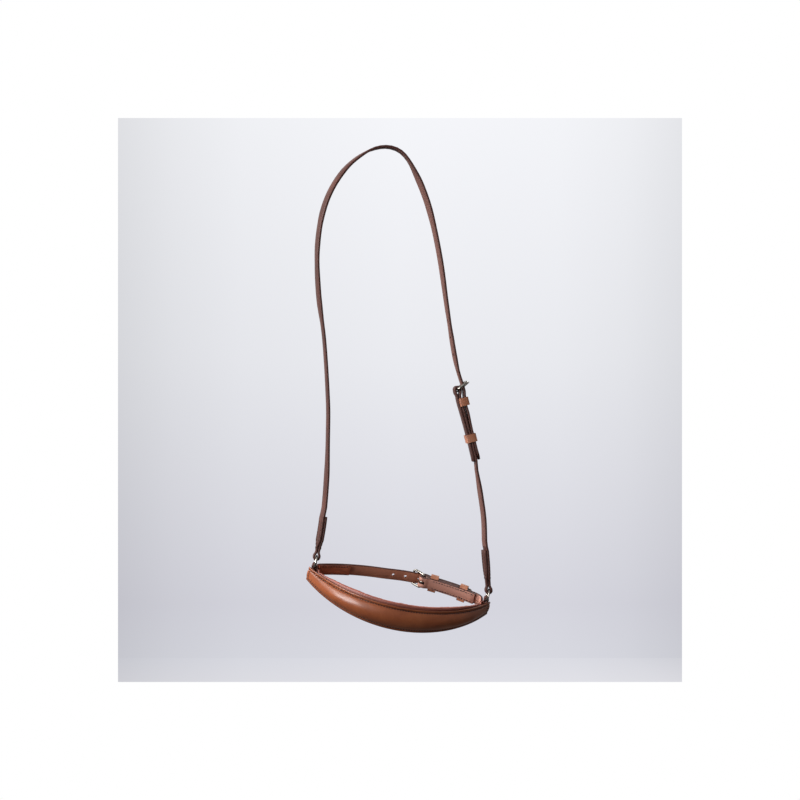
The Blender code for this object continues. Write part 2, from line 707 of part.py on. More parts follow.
def bar_frame(bar, towards, outward, tilt):
    """Axes at a heel bar: x to the toe, tilted outwards, y along the bar and z to the outer side."""
    x = towards * math.cos(tilt) + outward * math.sin(tilt)
    z = outward * math.cos(tilt) - towards * math.sin(tilt)
    return Matrix.Translation(bar) @ Matrix((x, z.cross(x), z)).transposed().to_4x4()


def make_head_keepers(leather, parts, cutters, head_route, cheek_route, cheek):
    """The fixed keeper is sewn between the cheek strap's layers, and the sliding one is free."""
    half_stack = STRAP_THICKNESS + LAYER_GAP / 2
    sewn = KEEPER_THICKNESS / 2
    for name, down, low in (
        ("head_fixed_keeper", HEAD_FIXED_KEEPER_AT, sewn),
        ("head_sliding_keeper", HEAD_SLIDING_KEEPER_AT, -half_stack - SLIDING_PLAY),
    ):
        point, along, _ = cheek_route.at(down)
        place = in_plane(point, along * -1)
        high = keeper_room(head_route, place)
        if low > 0:
            make_keeper(name, place, low, high + KEEPER_PLAY, leather, parts, None)
            seat_keeper(cheek, name, place, low, cutters)
        else:
            make_keeper(name, place, low, high + SLIDING_PLAY, leather, parts, None)


def loft(name, sections, made_of, collection, parent):
    """A closed skin over a row of closed sections with the same number of points."""
    bm = bmesh.new()
    rings = [[bm.verts.new(p) for p in section] for section in sections]
    count = len(rings[0])
    for a, b in zip(rings, rings[1:]):
        for k in range(count):
            bm.faces.new((a[k], a[(k + 1) % count], b[(k + 1) % count], b[k]))
    bm.faces.new(rings[0])
    bm.faces.new(list(reversed(rings[-1])))
    bmesh.ops.recalc_face_normals(bm, faces=bm.faces)
    mesh = bpy.data.meshes.new(name)
    bm.to_mesh(mesh)
    bm.free()
    mesh.shade_smooth()
    return new_object(name, mesh, collection, made_of, parent)


def nose_bump(s):
    return math.cos(math.pi * s / 2)


def nose_height(s):
    return NOSE_END_HEIGHT + (NOSE_MIDDLE_HEIGHT - NOSE_END_HEIGHT) * nose_bump(s)


def nose_level(s):
    return NOSE_END_LEVEL + (NOSE_MIDDLE_LEVEL - NOSE_END_LEVEL) * nose_bump(s)


def nose_point(s, out, up):
    """A point of the nosepiece: s from -1 to 1 along it, out from its face, up from its middle."""
    angle = s * NOSE_HALF_ANGLE
    radius = NOSE_RADIUS + out + NOSE_FLARE * nose_bump(s) * up
    return Vector((radius * math.sin(angle), NOSE_CENTRE_Y - radius * math.cos(angle), nose_level(s) + up))


def crown_height(s, up):
    """How far the leather's face stands out over the padding at a height from its middle."""
    half = nose_height(s) / 2 - FLANGE
    if abs(up) >= half:
        return 0.0
    top = END_CROWN + (CROWN - END_CROWN) * smoothstep(0.0, 0.42, 1.0 - abs(s))
    return top * math.cos(math.pi / 2 * up / half) ** 0.9


def under_crown(s, up, depth):
    """The place (out, up) at a depth below the crowned face, measured square to it."""
    slope = (crown_height(s, up + 0.1 * MM) - crown_height(s, up - 0.1 * MM)) / (0.2 * MM)
    square = math.hypot(1.0, slope)
    return crown_height(s, up) - depth / square, up + depth * slope / square


def tab_room(s):
    """How far the lining gives way over a hanger tab."""
    off = abs(abs(s) * NOSE_HALF_ANGLE - TAB_ANGLE) * NOSE_RADIUS
    deepest = 2 * TAB_THICKNESS + LAYER_GAP
    return deepest * (1.0 - smoothstep(5.0 * MM, 9.5 * MM, off))


def nose_stations(reach=1.0):
    """Places along the nosepiece, closer together towards its ends."""
    found = []
    for k in range(NOSE_STATIONS + 1):
        t = -1.0 + 2.0 * k / NOSE_STATIONS
        found.append(reach * (0.72 * t + 0.28 * math.sin(math.pi / 2 * t)))
    return found


def make_nosepiece_outer(leather, parts, pivot):
    """The raised outer leather: an open crowned face given the leather's thickness."""
    bm = bmesh.new()
    rows = []
    for s in nose_stations():
        half = nose_height(s) / 2
        inner = half - FLANGE
        heights = [-half, -inner - 0.4 * MM]
        heights += [inner * math.sin(math.pi / 2 * k / 5) for k in range(-5, 6)]
        heights += [inner + 0.4 * MM, half]
        rows.append([bm.verts.new(nose_point(s, crown_height(s, h), h)) for h in heights])
    for a, b in zip(rows, rows[1:]):
        for k in range(len(a) - 1):
            bm.faces.new((a[k], b[k], b[k + 1], a[k + 1]))
    mesh = bpy.data.meshes.new("nosepiece_outer")
    bm.to_mesh(mesh)
    bm.free()
    mesh.shade_smooth()
    obj = new_object("nosepiece_outer", mesh, parts, leather, pivot)
    solid = obj.modifiers.new("Leather", "SOLIDIFY")
    solid.thickness = OUTER_THICKNESS
    solid.offset = -1.0
    return obj


def make_nosepiece_filler(foam, parts, pivot):
    """The padding core that raises the outer leather."""
    sections = []
    for s in nose_stations(FILLER_REACH):
        half = nose_height(s) / 2 - FLANGE - 0.8 * MM
        heights = [half * math.sin(math.pi / 2 * k / 4) for k in range(-4, 5)]
        front = [under_crown(s, h, OUTER_THICKNESS + FILLER_GAP) for h in heights]
        edge = front[-1][1]
        back = [(FILLER_BACK, edge), (FILLER_BACK, 0.0), (FILLER_BACK, -edge)]
        sections.append([nose_point(s, out, up) for out, up in front + back])
    return loft("nosepiece_filler", sections, foam, parts, pivot)


def make_nosepiece_lining(lining, parts, pivot):
    """The soft padded lining, whose rolled top edge stands above the leather."""
    sections = []
    for s in nose_stations():
        swell = math.sin(math.pi / 2 * min(1.0, max(0.0, (0.9 - abs(s)) / 0.45)))
        thick = LINING_END_THICKNESS + (LINING_MIDDLE_THICKNESS - LINING_END_THICKNESS) * swell
        proud = -0.4 * MM + (LINING_PROUD + 0.4 * MM) * swell
        low = -nose_height(s) / 2 + 0.3 * MM
        high = nose_height(s) / 2 + proud
        front = LINING_FRONT - tab_room(s)
        section = []
        for k in range(16):
            angle = 2 * math.pi * (k + 0.5) / 16
            c, n = math.cos(angle), math.sin(angle)
            out = math.copysign(abs(c) ** 0.55, c)
            up = math.copysign(abs(n) ** 0.55, n)
            section.append(
                nose_point(s, front - thick / 2 + out * thick / 2, (low + high) / 2 + up * (high - low) / 2)
            )
        sections.append(section)
    return loft("nosepiece_lining", sections, lining, parts, pivot)


def make_tab(name, side, leather, parts, pivot):
    """A folded leather tab that holds a ring: its loop faces the ring, its legs follow the nosepiece."""
    inner = RING_RADIUS - RING_WIRE
    level = -(math.sqrt(inner**2 - TAB_HALF_WIDTH**2) - 0.2 * MM + TAB_SLOT)
    turn = -side * (math.pi / 2 - TAB_ANGLE)
    opened = TAB_SLOT + TAB_THICKNESS / 2
    closed = (TAB_THICKNESS + LAYER_GAP) / 2
    depths = [0.0, 1.0, 2.0, 2.4, 2.8, 3.2, 3.6, 5.5, 7.5, 10.5, 14.0, TAB_DEPTH / MM]
    legs = []
    for depth in depths:
        half = opened + (closed - opened) * smoothstep(2.0, 3.6, depth)
        legs.append((half, level - depth * MM))
    arc = [math.pi * k / 8 for k in range(1, 8)]
    top = [(opened * math.cos(a), level + opened * math.sin(a)) for a in arc]
    line = [(x, z) for x, z in reversed(legs)] + top + [(-x, z) for x, z in legs]
    path = [Vector(p) for p in line]
    obj = strap(name, path, leather, parts, pivot, 2 * TAB_HALF_WIDTH, TAB_THICKNESS)
    obj.modifiers.remove(obj.modifiers["Rounded edges"])
    top_level, low_level = level - 1.3 * MM, level - 3.6 * MM
    for vertex in obj.data.vertices:
        angle = turn * smoothstep(-top_level, -low_level, -vertex.co.z)
        vertex.co = Matrix.Rotation(angle, 3, "Z") @ vertex.co
        vertex.co.x += side * RING_X
    return obj


def main():
    clear_scene()
    parts = new_collection("bridle_noseband")
    cutters = new_collection("cutters")
    leather = material("cognac_leather", (0.20, 0.055, 0.022), 0.45)
    raised = material("raised_leather", (0.36, 0.115, 0.04), 0.38)
    lining = material("soft_lining", (0.22, 0.06, 0.045), 0.6)
    foam = material("padding", (0.6, 0.55, 0.45), 0.9)
    steel = material("bright_steel", (0.75, 0.75, 0.74), 0.2, 1.0)

    towards, outward = Vector((1, 0, 0)), Vector((0, 0, 1))
    bar_matrix = bar_frame(HEAD_BUCKLE_BAR, towards, outward, HEAD_BUCKLE_TILT)
    bar_matrix @= Matrix.Rotation(math.pi, 4, "X")
    head_bar = empty("head_buckle_pivot", parts)
    head_bar.matrix_local = bar_matrix
    make_buckle("head", head_bar, steel, parts)
    cheek_route, cheek = make_cheek_strap(leather, parts, cutters, bar_matrix)
    head_route, _ = make_head_strap(leather, parts, cutters, bar_matrix, cheek_route)
    make_head_keepers(leather, parts, cutters, head_route, cheek_route, cheek)

    pivot = empty("nose_loop_pivot", parts, NOSE_PIVOT, (NOSE_PITCH, NOSE_ROLL, 0))
    ring_frame = empty("ring_axis", parts, NOSE_PIVOT, (0, NOSE_ROLL, 0))
    make_ring("left_ring", -RING_X, steel, parts, ring_frame)
    make_ring("right_ring", RING_X, steel, parts, ring_frame)
    make_nosepiece_outer(raised, parts, pivot)
    make_nosepiece_filler(foam, parts, pivot)
    make_nosepiece_lining(lining, parts, pivot)
    make_tab("left_hanger_tab", -1, leather, parts, pivot)
    make_tab("right_hanger_tab", 1, leather, parts, pivot)
    make_chin_strap(leather, lining, steel, parts, cutters, pivot)


main()
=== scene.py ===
"""Looks for the padded cavesson noseband: leather, lining, stitching, metal and a pale studio.

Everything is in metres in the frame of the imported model: +Z up, the front towards -Y and the
origin under the top of the head strap. The straps are dressed copies of their solids, and the
nosepiece is built anew from the driving sizes of its solids, which are repeated here.
"""

import json
import math

import bmesh
import bpy
from mathutils import Euler, Matrix, Vector, noise
from mathutils.bvhtree import BVHTree


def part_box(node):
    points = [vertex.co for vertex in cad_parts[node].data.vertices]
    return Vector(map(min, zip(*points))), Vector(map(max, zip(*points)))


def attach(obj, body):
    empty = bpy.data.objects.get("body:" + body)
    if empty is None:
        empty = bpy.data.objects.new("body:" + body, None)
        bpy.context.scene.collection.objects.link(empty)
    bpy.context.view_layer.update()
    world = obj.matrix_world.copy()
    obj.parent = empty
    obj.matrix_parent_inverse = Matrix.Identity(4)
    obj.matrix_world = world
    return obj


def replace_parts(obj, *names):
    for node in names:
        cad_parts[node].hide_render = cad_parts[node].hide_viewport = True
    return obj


MM = 0.001

# Camera, for a picture of 800 by 800 points
CAMERA_PLACE = (-0.1687, -1.7520, -0.2772)
CAMERA_YAW = math.radians(-6.0)
LENS_MM = 72.0
SENSOR_MM = 36.0
PICTURE_POINTS = 800
FOCAL_POINTS = PICTURE_POINTS * LENS_MM / SENSOR_MM

# Backdrop: a pale glowing square behind the object with a strip of floor at its foot, with painted
# light: the wall is darkest just above the floor and gets lighter in two steps, the floor's tones go
# along its depth, and both are multiplied by a painted fall of light towards the sides
BACKDROP_DISTANCE = 4.2
BACKDROP_POINTS = 564
BACKDROP_SIDE = BACKDROP_POINTS / FOCAL_POINTS * BACKDROP_DISTANCE
FLOOR_POINTS = 24
FLOOR_SHARE = FLOOR_POINTS / BACKDROP_POINTS
WALL_TONES = (
    (0.0, (217, 218, 226)), (0.1, (214, 214, 223)), (0.55, (234, 235, 240)), (1.0, (245, 246, 250)),
)
FLOOR_TONES = ((0.0, (226, 226, 232)), (1.0, (219, 220, 228)))
SIDE_LIGHT_FALLOFF = (
    (0.0, 0.81), (0.1, 0.89), (0.22, 0.95), (0.5, 1.0), (0.78, 0.985), (0.9, 0.94), (1.0, 0.86),
)

# White surroundings: how strongly they light the object, and between which heights of a ray's
# direction they come up in the gloss
FILL_STRENGTH = 0.12
GLOSS_DARK_BELOW = -0.5
GLOSS_BRIGHT_ABOVE = 0.1

# Lamps: name, energy, width and place. The glint shows in the gloss alone
LAMP_AIM = (0.0, 0.0, -0.4)
LAMPS = (
    ("key", 24.0, 0.5, (-1.42, -1.18, 0.35)),
    ("side", 54.0, 0.8, (-1.82, 0.0, 0.45)),
    ("back", 20.0, 1.0, (1.3, 1.3, 0.3)),
    ("top", 3.0, 0.8, (-0.4, 0.5, 1.3)),
)
GLINT_LAMP = ("glint", 44.0, 0.5, (-1.12, -1.22, -0.36))

# Sockets of a mix node that is set to mix colours
MIX_FIRST = 6
MIX_SECOND = 7
MIX_RESULT = 2

# Leather: features to the metre, the noise values of its three tones, and how strongly each thing
# shows
CLOUD_SCALE = 34.0
FIBRE_SCALE = 620.0
PEBBLE_SCALE = 1150.0
MOTTLE = 0.28
TONE_PLACES = (0.32, 0.5, 0.7)
FIBRE_PLACES = (0.3, 0.7)
FIBRE_SHADE = 0.8
FLESH_DULLNESS = 0.2
SEAM_DARKNESS = 0.7
PEBBLE_RELIEF = 0.7
GRAIN_DEPTH = 0.12 * MM

# Thread and steel: features to the metre, tones as seen on screen, and their gloss
TWIST_SCALE = 2400.0
TWIST_DEPTH = 0.1 * MM
TWIST_STRENGTH = 0.5
THREAD_TONES = ((0.35, (26, 13, 10)), (0.65, (52, 29, 23)))
THREAD_ROUGHNESS = 0.6
THREAD_SHINE = 0.25
SMEAR_SCALE = 260.0
STEEL_TONES = ((0.35, (96, 92, 86)), (0.65, (140, 136, 130)))
STEEL_ROUGHNESS = 0.1
SMEAR_ROUGHNESS = 0.16

# Nose loop: where it hangs and how it is turned
NOSE_PIVOT = Vector((17.8, 0.0, -473.4)) * MM
NOSE_ROLL = math.radians(11.6)
NOSE_PITCH = math.radians(25.0)
LOOP = Matrix.Translation(NOSE_PIVOT) @ Euler((NOSE_PITCH, NOSE_ROLL, 0.0)).to_matrix().to_4x4()

# Nosepiece, in the loop's own frame. The crown rises from each end over a share of half its length
NOSE_RADIUS = 130.0 * MM
NOSE_CENTRE_Y = 80.4 * MM
NOSE_HALF_ANGLE = math.radians(52.3)
NOSE_END_HEIGHT = 16.4 * MM
NOSE_MIDDLE_HEIGHT = 30.2 * MM
NOSE_END_LEVEL = -17.1 * MM
NOSE_MIDDLE_LEVEL = -22.2 * MM
NOSE_FLARE = 0.05
OUTER_THICKNESS = 2.0 * MM
FLANGE = 3.1 * MM
CROWN = 5.0 * MM
END_CROWN = 0.7 * MM
CROWN_RUN = 0.42
CROWN_FULLNESS = 0.85

# Nosepiece seams: how they draw the leather in, how dark they are, and where the threads lie
SEAM_DEPTH = 0.6 * MM
LOW_SEAM_DEPTH = 0.25 * MM
SEAM_WIDTH = 0.75 * MM
SEAM_GATHER = 0.3
SEAM_SHADE_WIDTH = 1.3 * SEAM_WIDTH
SEAM_FAINTEST = 0.4
PRICK_SHARPNESS = 0.7
END_SEAM_INSET = 3.2 * MM
THREAD_LIFT = 0.15 * MM
SLOPE_STEP = 0.004

# Raised leather: its points, uneven face, rounded rim with a stained top, painted shade on its lower
# flange, and its back
LEATHER_STEPS_ALONG = 480
LEATHER_STEPS_ACROSS = 52
RIM_CROWDING = 0.2
UNEVENNESS = 0.2 * MM
UNEVEN_ALONG = 9.0
UNEVEN_UP = 0.12
UNEVEN_SEED = 3.1
UNEVEN_WITHIN = 0.5
RIM_WIDTH = 0.7 * MM
RIM_DROP = 0.45 * MM
TOP_RIM_STAIN = 0.3
LOW_FLANGE_SHADE = 0.75
LOW_SHADE_MARGIN = 0.5 * MM
BACK_PLACES = (0.0, 0.2, 0.8, 1.0)
BACK_CORNER_INSET = 0.25 * MM
BACK_CORNER_LIFT = 0.3 * MM

# Soft lining: a padded roll behind the leather, with room for the hanger tabs' sewn ends. Its fill
# begins at a share of half the length from the middle, and grows towards the middle over another
LINING_STEPS_ALONG = 260
LINING_STEPS_AROUND = 40
LINING_FRONT = -2.3 * MM
LINING_MIDDLE_THICKNESS = 7.0 * MM
LINING_END_THICKNESS = 2.6 * MM
LINING_PROUD = 1.3 * MM
LINING_END_PROUD = -0.4 * MM
LINING_FOOT = 0.2 * MM
FILL_END = 0.9
FILL_RUN = 0.45
ROLL_SQUARENESS = 0.62
LINING_GATHER = 0.16 * MM
FOLD_DEPTH = 0.5 * MM
FOLDS_ALONG = 7.0
FOLDS_DEEP = 1.3
FOLDS_UP = 1.7
FOLD_SEED = 5.0
TAB_ANGLE = math.radians(50.4)
TAB_ROOM = 3.1 * MM
TAB_ROOM_FULL = 5.0 * MM
TAB_ROOM_ENDS = 9.5 * MM

# Where the roll is darkened with painted shade, at its front tucked behind the leather and at the top of
# its back, and where it is sewn down: from and to, as shares of its depth from -1 at the back to 1 at the
# front, of its height from -1 at the foot to 1 at the top, and of the length
SEWN_FRONT = (0.2, 0.7)
SEWN_ENDS = (0.8, 0.92)
SHADED_FRONT = (0.35, 0.95)
SHADED_BACK = (-0.1, -0.6)
SHADED_TOP = (0.3, 0.8)
FRONT_SHADE = 0.9
BACK_SHADE = 0.8

# Swelling of the lining: it is simulated larger than life, because cloth is tuned for metres
CLOTH_SCALE = 10.0
CLOTH_FRAMES = 20
CLOTH_PRESSURE = 4.0
CLOTH_SLACK = -0.04
MOST_SWELL = 0.9 * MM
ROOM_TO_SWELL = 0.3 * MM
ROUNDED_OFF = 1.3 * MM
LEAST_MOVE = 0.001 * MM

# Dressing of the leather solids: welding and joining of their faces, and how far the dye of the
# cut edges runs onto the face, from a share of the half width to the edge
WELD_DISTANCE = 0.004 * MM
JOINED_TILT = math.radians(2)
JOINED_SHAPE = math.radians(40)
CUT_FACING = 0.5
FLESH_FACING = 0.2
DYE_STRENGTH = 0.55
DYE_START = 0.9
STRAP_SHARP_DEGREES = 38
NOSE_SHARP_DEGREES = 50
LINING_SHARP_DEGREES = 55
BEVEL_STEPS = 3
BEVEL_ANGLE = math.radians(50)

# Straps and keepers. The flesh sides are in view between these heights
STRAP_HALF_WIDTH = 6.5 * MM
HEAD_MIDDLE = Vector((0, 0, -260 * MM))
HEAD_FLESH_FROM = -402 * MM
CHEEK_FLESH_FROM = -441 * MM
CHEEK_FLESH_TO = -347 * MM
KEEPER_HALF_LENGTH = 4.5 * MM
KEEPER_ROUNDING = 0.25 * MM
HEAD_KEEPER_LINE = (-0.25, 0, 0.968)

# Chin strap, in the loop's own frame, apart from its keepers' lines, which are in the object's
CHIN_LEVEL = -15.8 * MM
CHIN_MIDDLE = Vector((0, -8 * MM, -15 * MM))
CHIN_SINGLE_FROM = 8 * MM
CHIN_LAP = (38.0 * MM, 84.0 * MM)
CHIN_LINED = (-88.0 * MM, -58.5 * MM)
CHIN_LINING_HALF_WIDTH = 6.1 * MM
CHIN_SEAM = 4.6 * MM
CHIN_KEEPER_LINES = ((0.96, -0.115, -0.255), (0.931, -0.218, -0.294))
KEEPER_SAG = 2.0 * MM
SAG_FULL_UNTIL = 2.5 * MM
TAB_HALF_WIDTH = 3.0 * MM
TAB_SLIM = 0.2 * MM

# Sewn laps of the head and cheek straps, down each strap's own line: x and z in mm, how far the
# strap is turned about that line in degrees, and how far the seam is from its middle in mm
HEAD_RING_LAP = (
    (-75.0, -441.1, 0.0, 2.3), (-74.3, -437.2, 6.0, 3.0), (-73.7, -433.2, 12.0, 4.0),
    (-73.0, -429.3, 15.0, 4.6), (-69.6, -410.0, 15.0, 4.6), (-69.3, -407.5, 15.0, 4.6),
)
CHEEK_RING_LAP = (
    (110.3, -445.5, -9.0, 4.6), (111.5, -458.0, -9.0, 4.6), (112.3, -468.1, -5.2, 4.6),
    (112.7, -472.1, -2.5, 4.0), (113.0, -476.1, -0.5, 3.0), (113.3, -480.1, 0.0, 2.3),
)
CHEEK_BUCKLE_LAP = (
    (84.4, -290.0, 0.0, 4.6), (90.0, -310.0, 0.0, 4.6), (95.6, -332.0, 0.0, 4.6), (97.8, -342.0, 0.0, 4.6),
)

# Stitching. A stitch's shape is given along it: the share of its length, and its height and
# thickness in radii of the thread
STITCH_PITCH = 3.0 * MM
STITCH_SHARE = 0.74
THREAD_RADIUS = 0.36 * MM
LAP_THREAD_RADIUS = 0.48 * MM
THREAD_SIDES = 6
STITCH_SHAPE = (
    (0.0, -0.9, 0.45), (0.1, 0.1, 0.9), (0.5, 0.62, 1.0), (0.9, 0.1, 0.9), (1.0, -0.9, 0.45),
)

# Rays that find the holes on a surface: how squarely they meet it, how long they are, and where the
# ones from behind the chin strap start, in the loop's own frame
SQUARE_ENOUGH = 0.4
LAP_RAY = 12 * MM
CHIN_RAY = 80 * MM
BEHIND_CHIN = 60 * MM

# Metal. The tongue's eye goes round the heel bar from one angle to the other, in degrees
WIRE_SIDES = 20
RING_RADIUS = 6.0 * MM
RING_WIRE = 1.1 * MM
RING_STEPS = 96
RING_SIDES = 24
BUCKLE_LENGTH = 13.0 * MM
BUCKLE_HALF_WIDTH = 8.7 * MM
BUCKLE_WIRE = 1.3 * MM
BUCKLE_CORNER = 3.0 * MM
CORNER_STEPS = 8
TONGUE_WIRE = 0.9 * MM
TONGUE_PLAY = 0.2 * MM
TONGUE_EYE = BUCKLE_WIRE + TONGUE_PLAY + TONGUE_WIRE
EYE_FROM = 335
EYE_TO = 90
EYE_STEP = 15
TONGUE_STEPS = 8
TONGUE_TAPER = 0.15
TIP_STEPS = 3
TIP_STEP_LENGTH = 0.55 * MM
TIP_STEP_DROP = 0.08 * MM
TIP_STEP_TAPER = 0.18

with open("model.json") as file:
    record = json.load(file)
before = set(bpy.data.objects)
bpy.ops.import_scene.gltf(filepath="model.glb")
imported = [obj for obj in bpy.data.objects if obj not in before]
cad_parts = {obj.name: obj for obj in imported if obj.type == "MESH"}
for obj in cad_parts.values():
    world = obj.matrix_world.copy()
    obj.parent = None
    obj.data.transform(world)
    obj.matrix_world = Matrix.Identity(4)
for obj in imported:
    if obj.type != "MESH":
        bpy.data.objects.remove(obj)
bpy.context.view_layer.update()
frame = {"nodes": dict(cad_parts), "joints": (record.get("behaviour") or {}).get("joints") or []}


def smoothstep(low, high, value):
    t = min(1.0, max(0.0, (value - low) / (high - low)))
    return t * t * (3.0 - 2.0 * t)


def srgb(red, green, blue):
    """A colour as seen on screen, 0 to 255, as the shader's linear values by the standard curve."""
    linear = []
    for level in (red, green, blue):
        linear.append(((level / 255 + 0.055) / 1.055) ** 2.4 if level > 10 else level / 255 / 12.92)
    return (*linear, 1.0)


def add(tree, kind, values=None, **settings):
    """A shader node with its settings, and its inputs linked or set."""
    node = tree.nodes.new(kind)
    for key, value in settings.items():
        setattr(node, key, value)
    for socket, value in (values or {}).items():
        if isinstance(value, bpy.types.NodeSocket):
            tree.links.new(value, node.inputs[socket])
        else:
            node.inputs[socket].default_value = value
    return node


def new_material(name):
    made = bpy.data.materials.new(name)
    made.use_nodes = True
    return made, made.node_tree, made.node_tree.nodes["Principled BSDF"]


def mix_colour(tree, share, first, second, blend="MIX"):
    """Two colours mixed. A mix node has sockets for other kinds too, so its colours go by number."""
    values = {"Factor": share, MIX_FIRST: first, MIX_SECOND: second}
    node = add(tree, "ShaderNodeMix", values, data_type="RGBA", blend_type=blend)
    return node.outputs[MIX_RESULT]


def ramp(tree, value, stops):
    """A colour ramp over the value, from its stops' places and linear colours."""
    node = add(tree, "ShaderNodeValToRGB", {"Fac": value})
    node.color_ramp.elements.remove(node.color_ramp.elements[1])
    for i, (place, colour) in enumerate(stops):
        element = node.color_ramp.elements[0] if i == 0 else node.color_ramp.elements.new(place)
        element.position = place
        element.color = colour
    return node.outputs["Color"]


def screen_ramp(tree, value, stops):
    """A ramp whose colours are given as seen on screen."""
    return ramp(tree, value, [(place, srgb(*colour)) for place, colour in stops])


def math_node(tree, operation, a, b, c=0.5):
    """A sum, product, or product of a and b plus c, of values or sockets."""
    return add(tree, "ShaderNodeMath", {0: a, 1: b, 2: c}, operation=operation).outputs[0]


def mask_value(tree, name):
    """The value of one of the mesh's masks, which is 0 where the mesh doesn't have it."""
    return add(tree, "ShaderNodeAttribute", attribute_name=name).outputs["Fac"]


def noise_texture(tree, scale, detail, roughness=0.5):
    """Noise that is fixed to the object."""
    place = add(tree, "ShaderNodeTexCoord").outputs["Object"]
    values = {"Vector": place, "Scale": scale, "Detail": detail, "Roughness": roughness}
    return add(tree, "ShaderNodeTexNoise", values).outputs["Fac"]


def leather(name, deep, middle, light, edge, flesh=None, rough=(0.42, 0.58), grain=0.35, shine=0.25):
    """Finished leather, from its colours as seen on screen.

    Attributes on the mesh darken its seams and its dyed cut edges towards the edge colour, and on the
    nosepiece they carry painted shade the same way. Where a colour is given for the rough flesh side,
    another attribute marks that side.
    """
    made, tree, shader = new_material(name)
    cloud = noise_texture(tree, CLOUD_SCALE, detail=5.0, roughness=0.62)
    fine = noise_texture(tree, FIBRE_SCALE, detail=4.0, roughness=0.7)
    place = add(tree, "ShaderNodeTexCoord").outputs["Object"]
    cells = {"Vector": place, "Scale": PEBBLE_SCALE, "Randomness": 1.0}
    pebble = add(tree, "ShaderNodeTexVoronoi", cells, feature="SMOOTH_F1").outputs["Distance"]
    mottle = math_node(tree, "MULTIPLY_ADD", fine, MOTTLE, -MOTTLE / 2)
    tone = math_node(tree, "ADD", cloud, mottle)
    colour = screen_ramp(tree, tone, zip(TONE_PLACES, (deep, middle, light)))
    low, high = rough
    roughness = math_node(tree, "MULTIPLY_ADD", fine, high - low, low)
    if flesh:
        flesh_mask = mask_value(tree, "flesh")
        pale = srgb(*flesh)
        dark = tuple(level * FIBRE_SHADE for level in pale)
        fibre = ramp(tree, fine, zip(FIBRE_PLACES, (dark, pale)))
        colour = mix_colour(tree, flesh_mask, colour, fibre)
        roughness = math_node(tree, "MULTIPLY_ADD", flesh_mask, FLESH_DULLNESS, roughness)
    # The seam and edge masks mix towards the edge colour: real seams and dyed cut edges, and on the
    # nosepiece also painted shade
    seam = math_node(tree, "MULTIPLY", mask_value(tree, "seam"), SEAM_DARKNESS)
    colour = mix_colour(tree, seam, colour, srgb(*edge))
    colour = mix_colour(tree, mask_value(tree, "edge"), colour, srgb(*edge))
    relief = math_node(tree, "MULTIPLY_ADD", pebble, PEBBLE_RELIEF, fine)
    bump = add(tree, "ShaderNodeBump", {"Height": relief, "Strength": grain, "Distance": GRAIN_DEPTH})
    tree.links.new(colour, shader.inputs["Base Color"])
    tree.links.new(roughness, shader.inputs["Roughness"])
    tree.links.new(bump.outputs["Normal"], shader.inputs["Normal"])
    shader.inputs["Specular IOR Level"].default_value = shine
    return made


def thread_material():
    made, tree, shader = new_material("waxed_thread")
    twist = noise_texture(tree, TWIST_SCALE, detail=2.0)
    colour = screen_ramp(tree, twist, THREAD_TONES)
    relief = {"Height": twist, "Strength": TWIST_STRENGTH, "Distance": TWIST_DEPTH}
    bump = add(tree, "ShaderNodeBump", relief)
    tree.links.new(colour, shader.inputs["Base Color"])
    tree.links.new(bump.outputs["Normal"], shader.inputs["Normal"])
    shader.inputs["Roughness"].default_value = THREAD_ROUGHNESS
    shader.inputs["Specular IOR Level"].default_value = THREAD_SHINE
    return made


def metal_material():
    made, tree, shader = new_material("polished_steel")
    smear = noise_texture(tree, SMEAR_SCALE, detail=4.0)
    colour = screen_ramp(tree, smear, STEEL_TONES)
    gloss = math_node(tree, "MULTIPLY_ADD", smear, SMEAR_ROUGHNESS, STEEL_ROUGHNESS)
    tree.links.new(colour, shader.inputs["Base Color"])
    tree.links.new(gloss, shader.inputs["Roughness"])
    shader.inputs["Metallic"].default_value = 1.0
    return made


def put(name, mesh, made_of, body, sharp_degrees=None):
    """A smooth piece of the mesh that rides on a body, with corners kept sharp past an angle."""
    obj = bpy.data.objects.new(name, mesh)
    bpy.context.scene.collection.objects.link(obj)
    mesh.materials.clear()
    mesh.materials.append(made_of)
    mesh.shade_smooth()
    if sharp_degrees is not None:
        mesh.set_sharp_from_angle(angle=math.radians(sharp_degrees))
    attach(obj, body)
    return obj


def mesh_from(name, bm):
    bmesh.ops.recalc_face_normals(bm, faces=bm.faces)
    mesh = bpy.data.meshes.new(name)
    bm.to_mesh(mesh)
    bm.free()
    return mesh


def mask(mesh, name, values, domain="CORNER"):
    """Writes a value from 0 to 1 for each face corner or point of the mesh, for its material."""
    layer = mesh.attributes.new(name, "FLOAT", domain)
    layer.data.foreach_set("value", values)


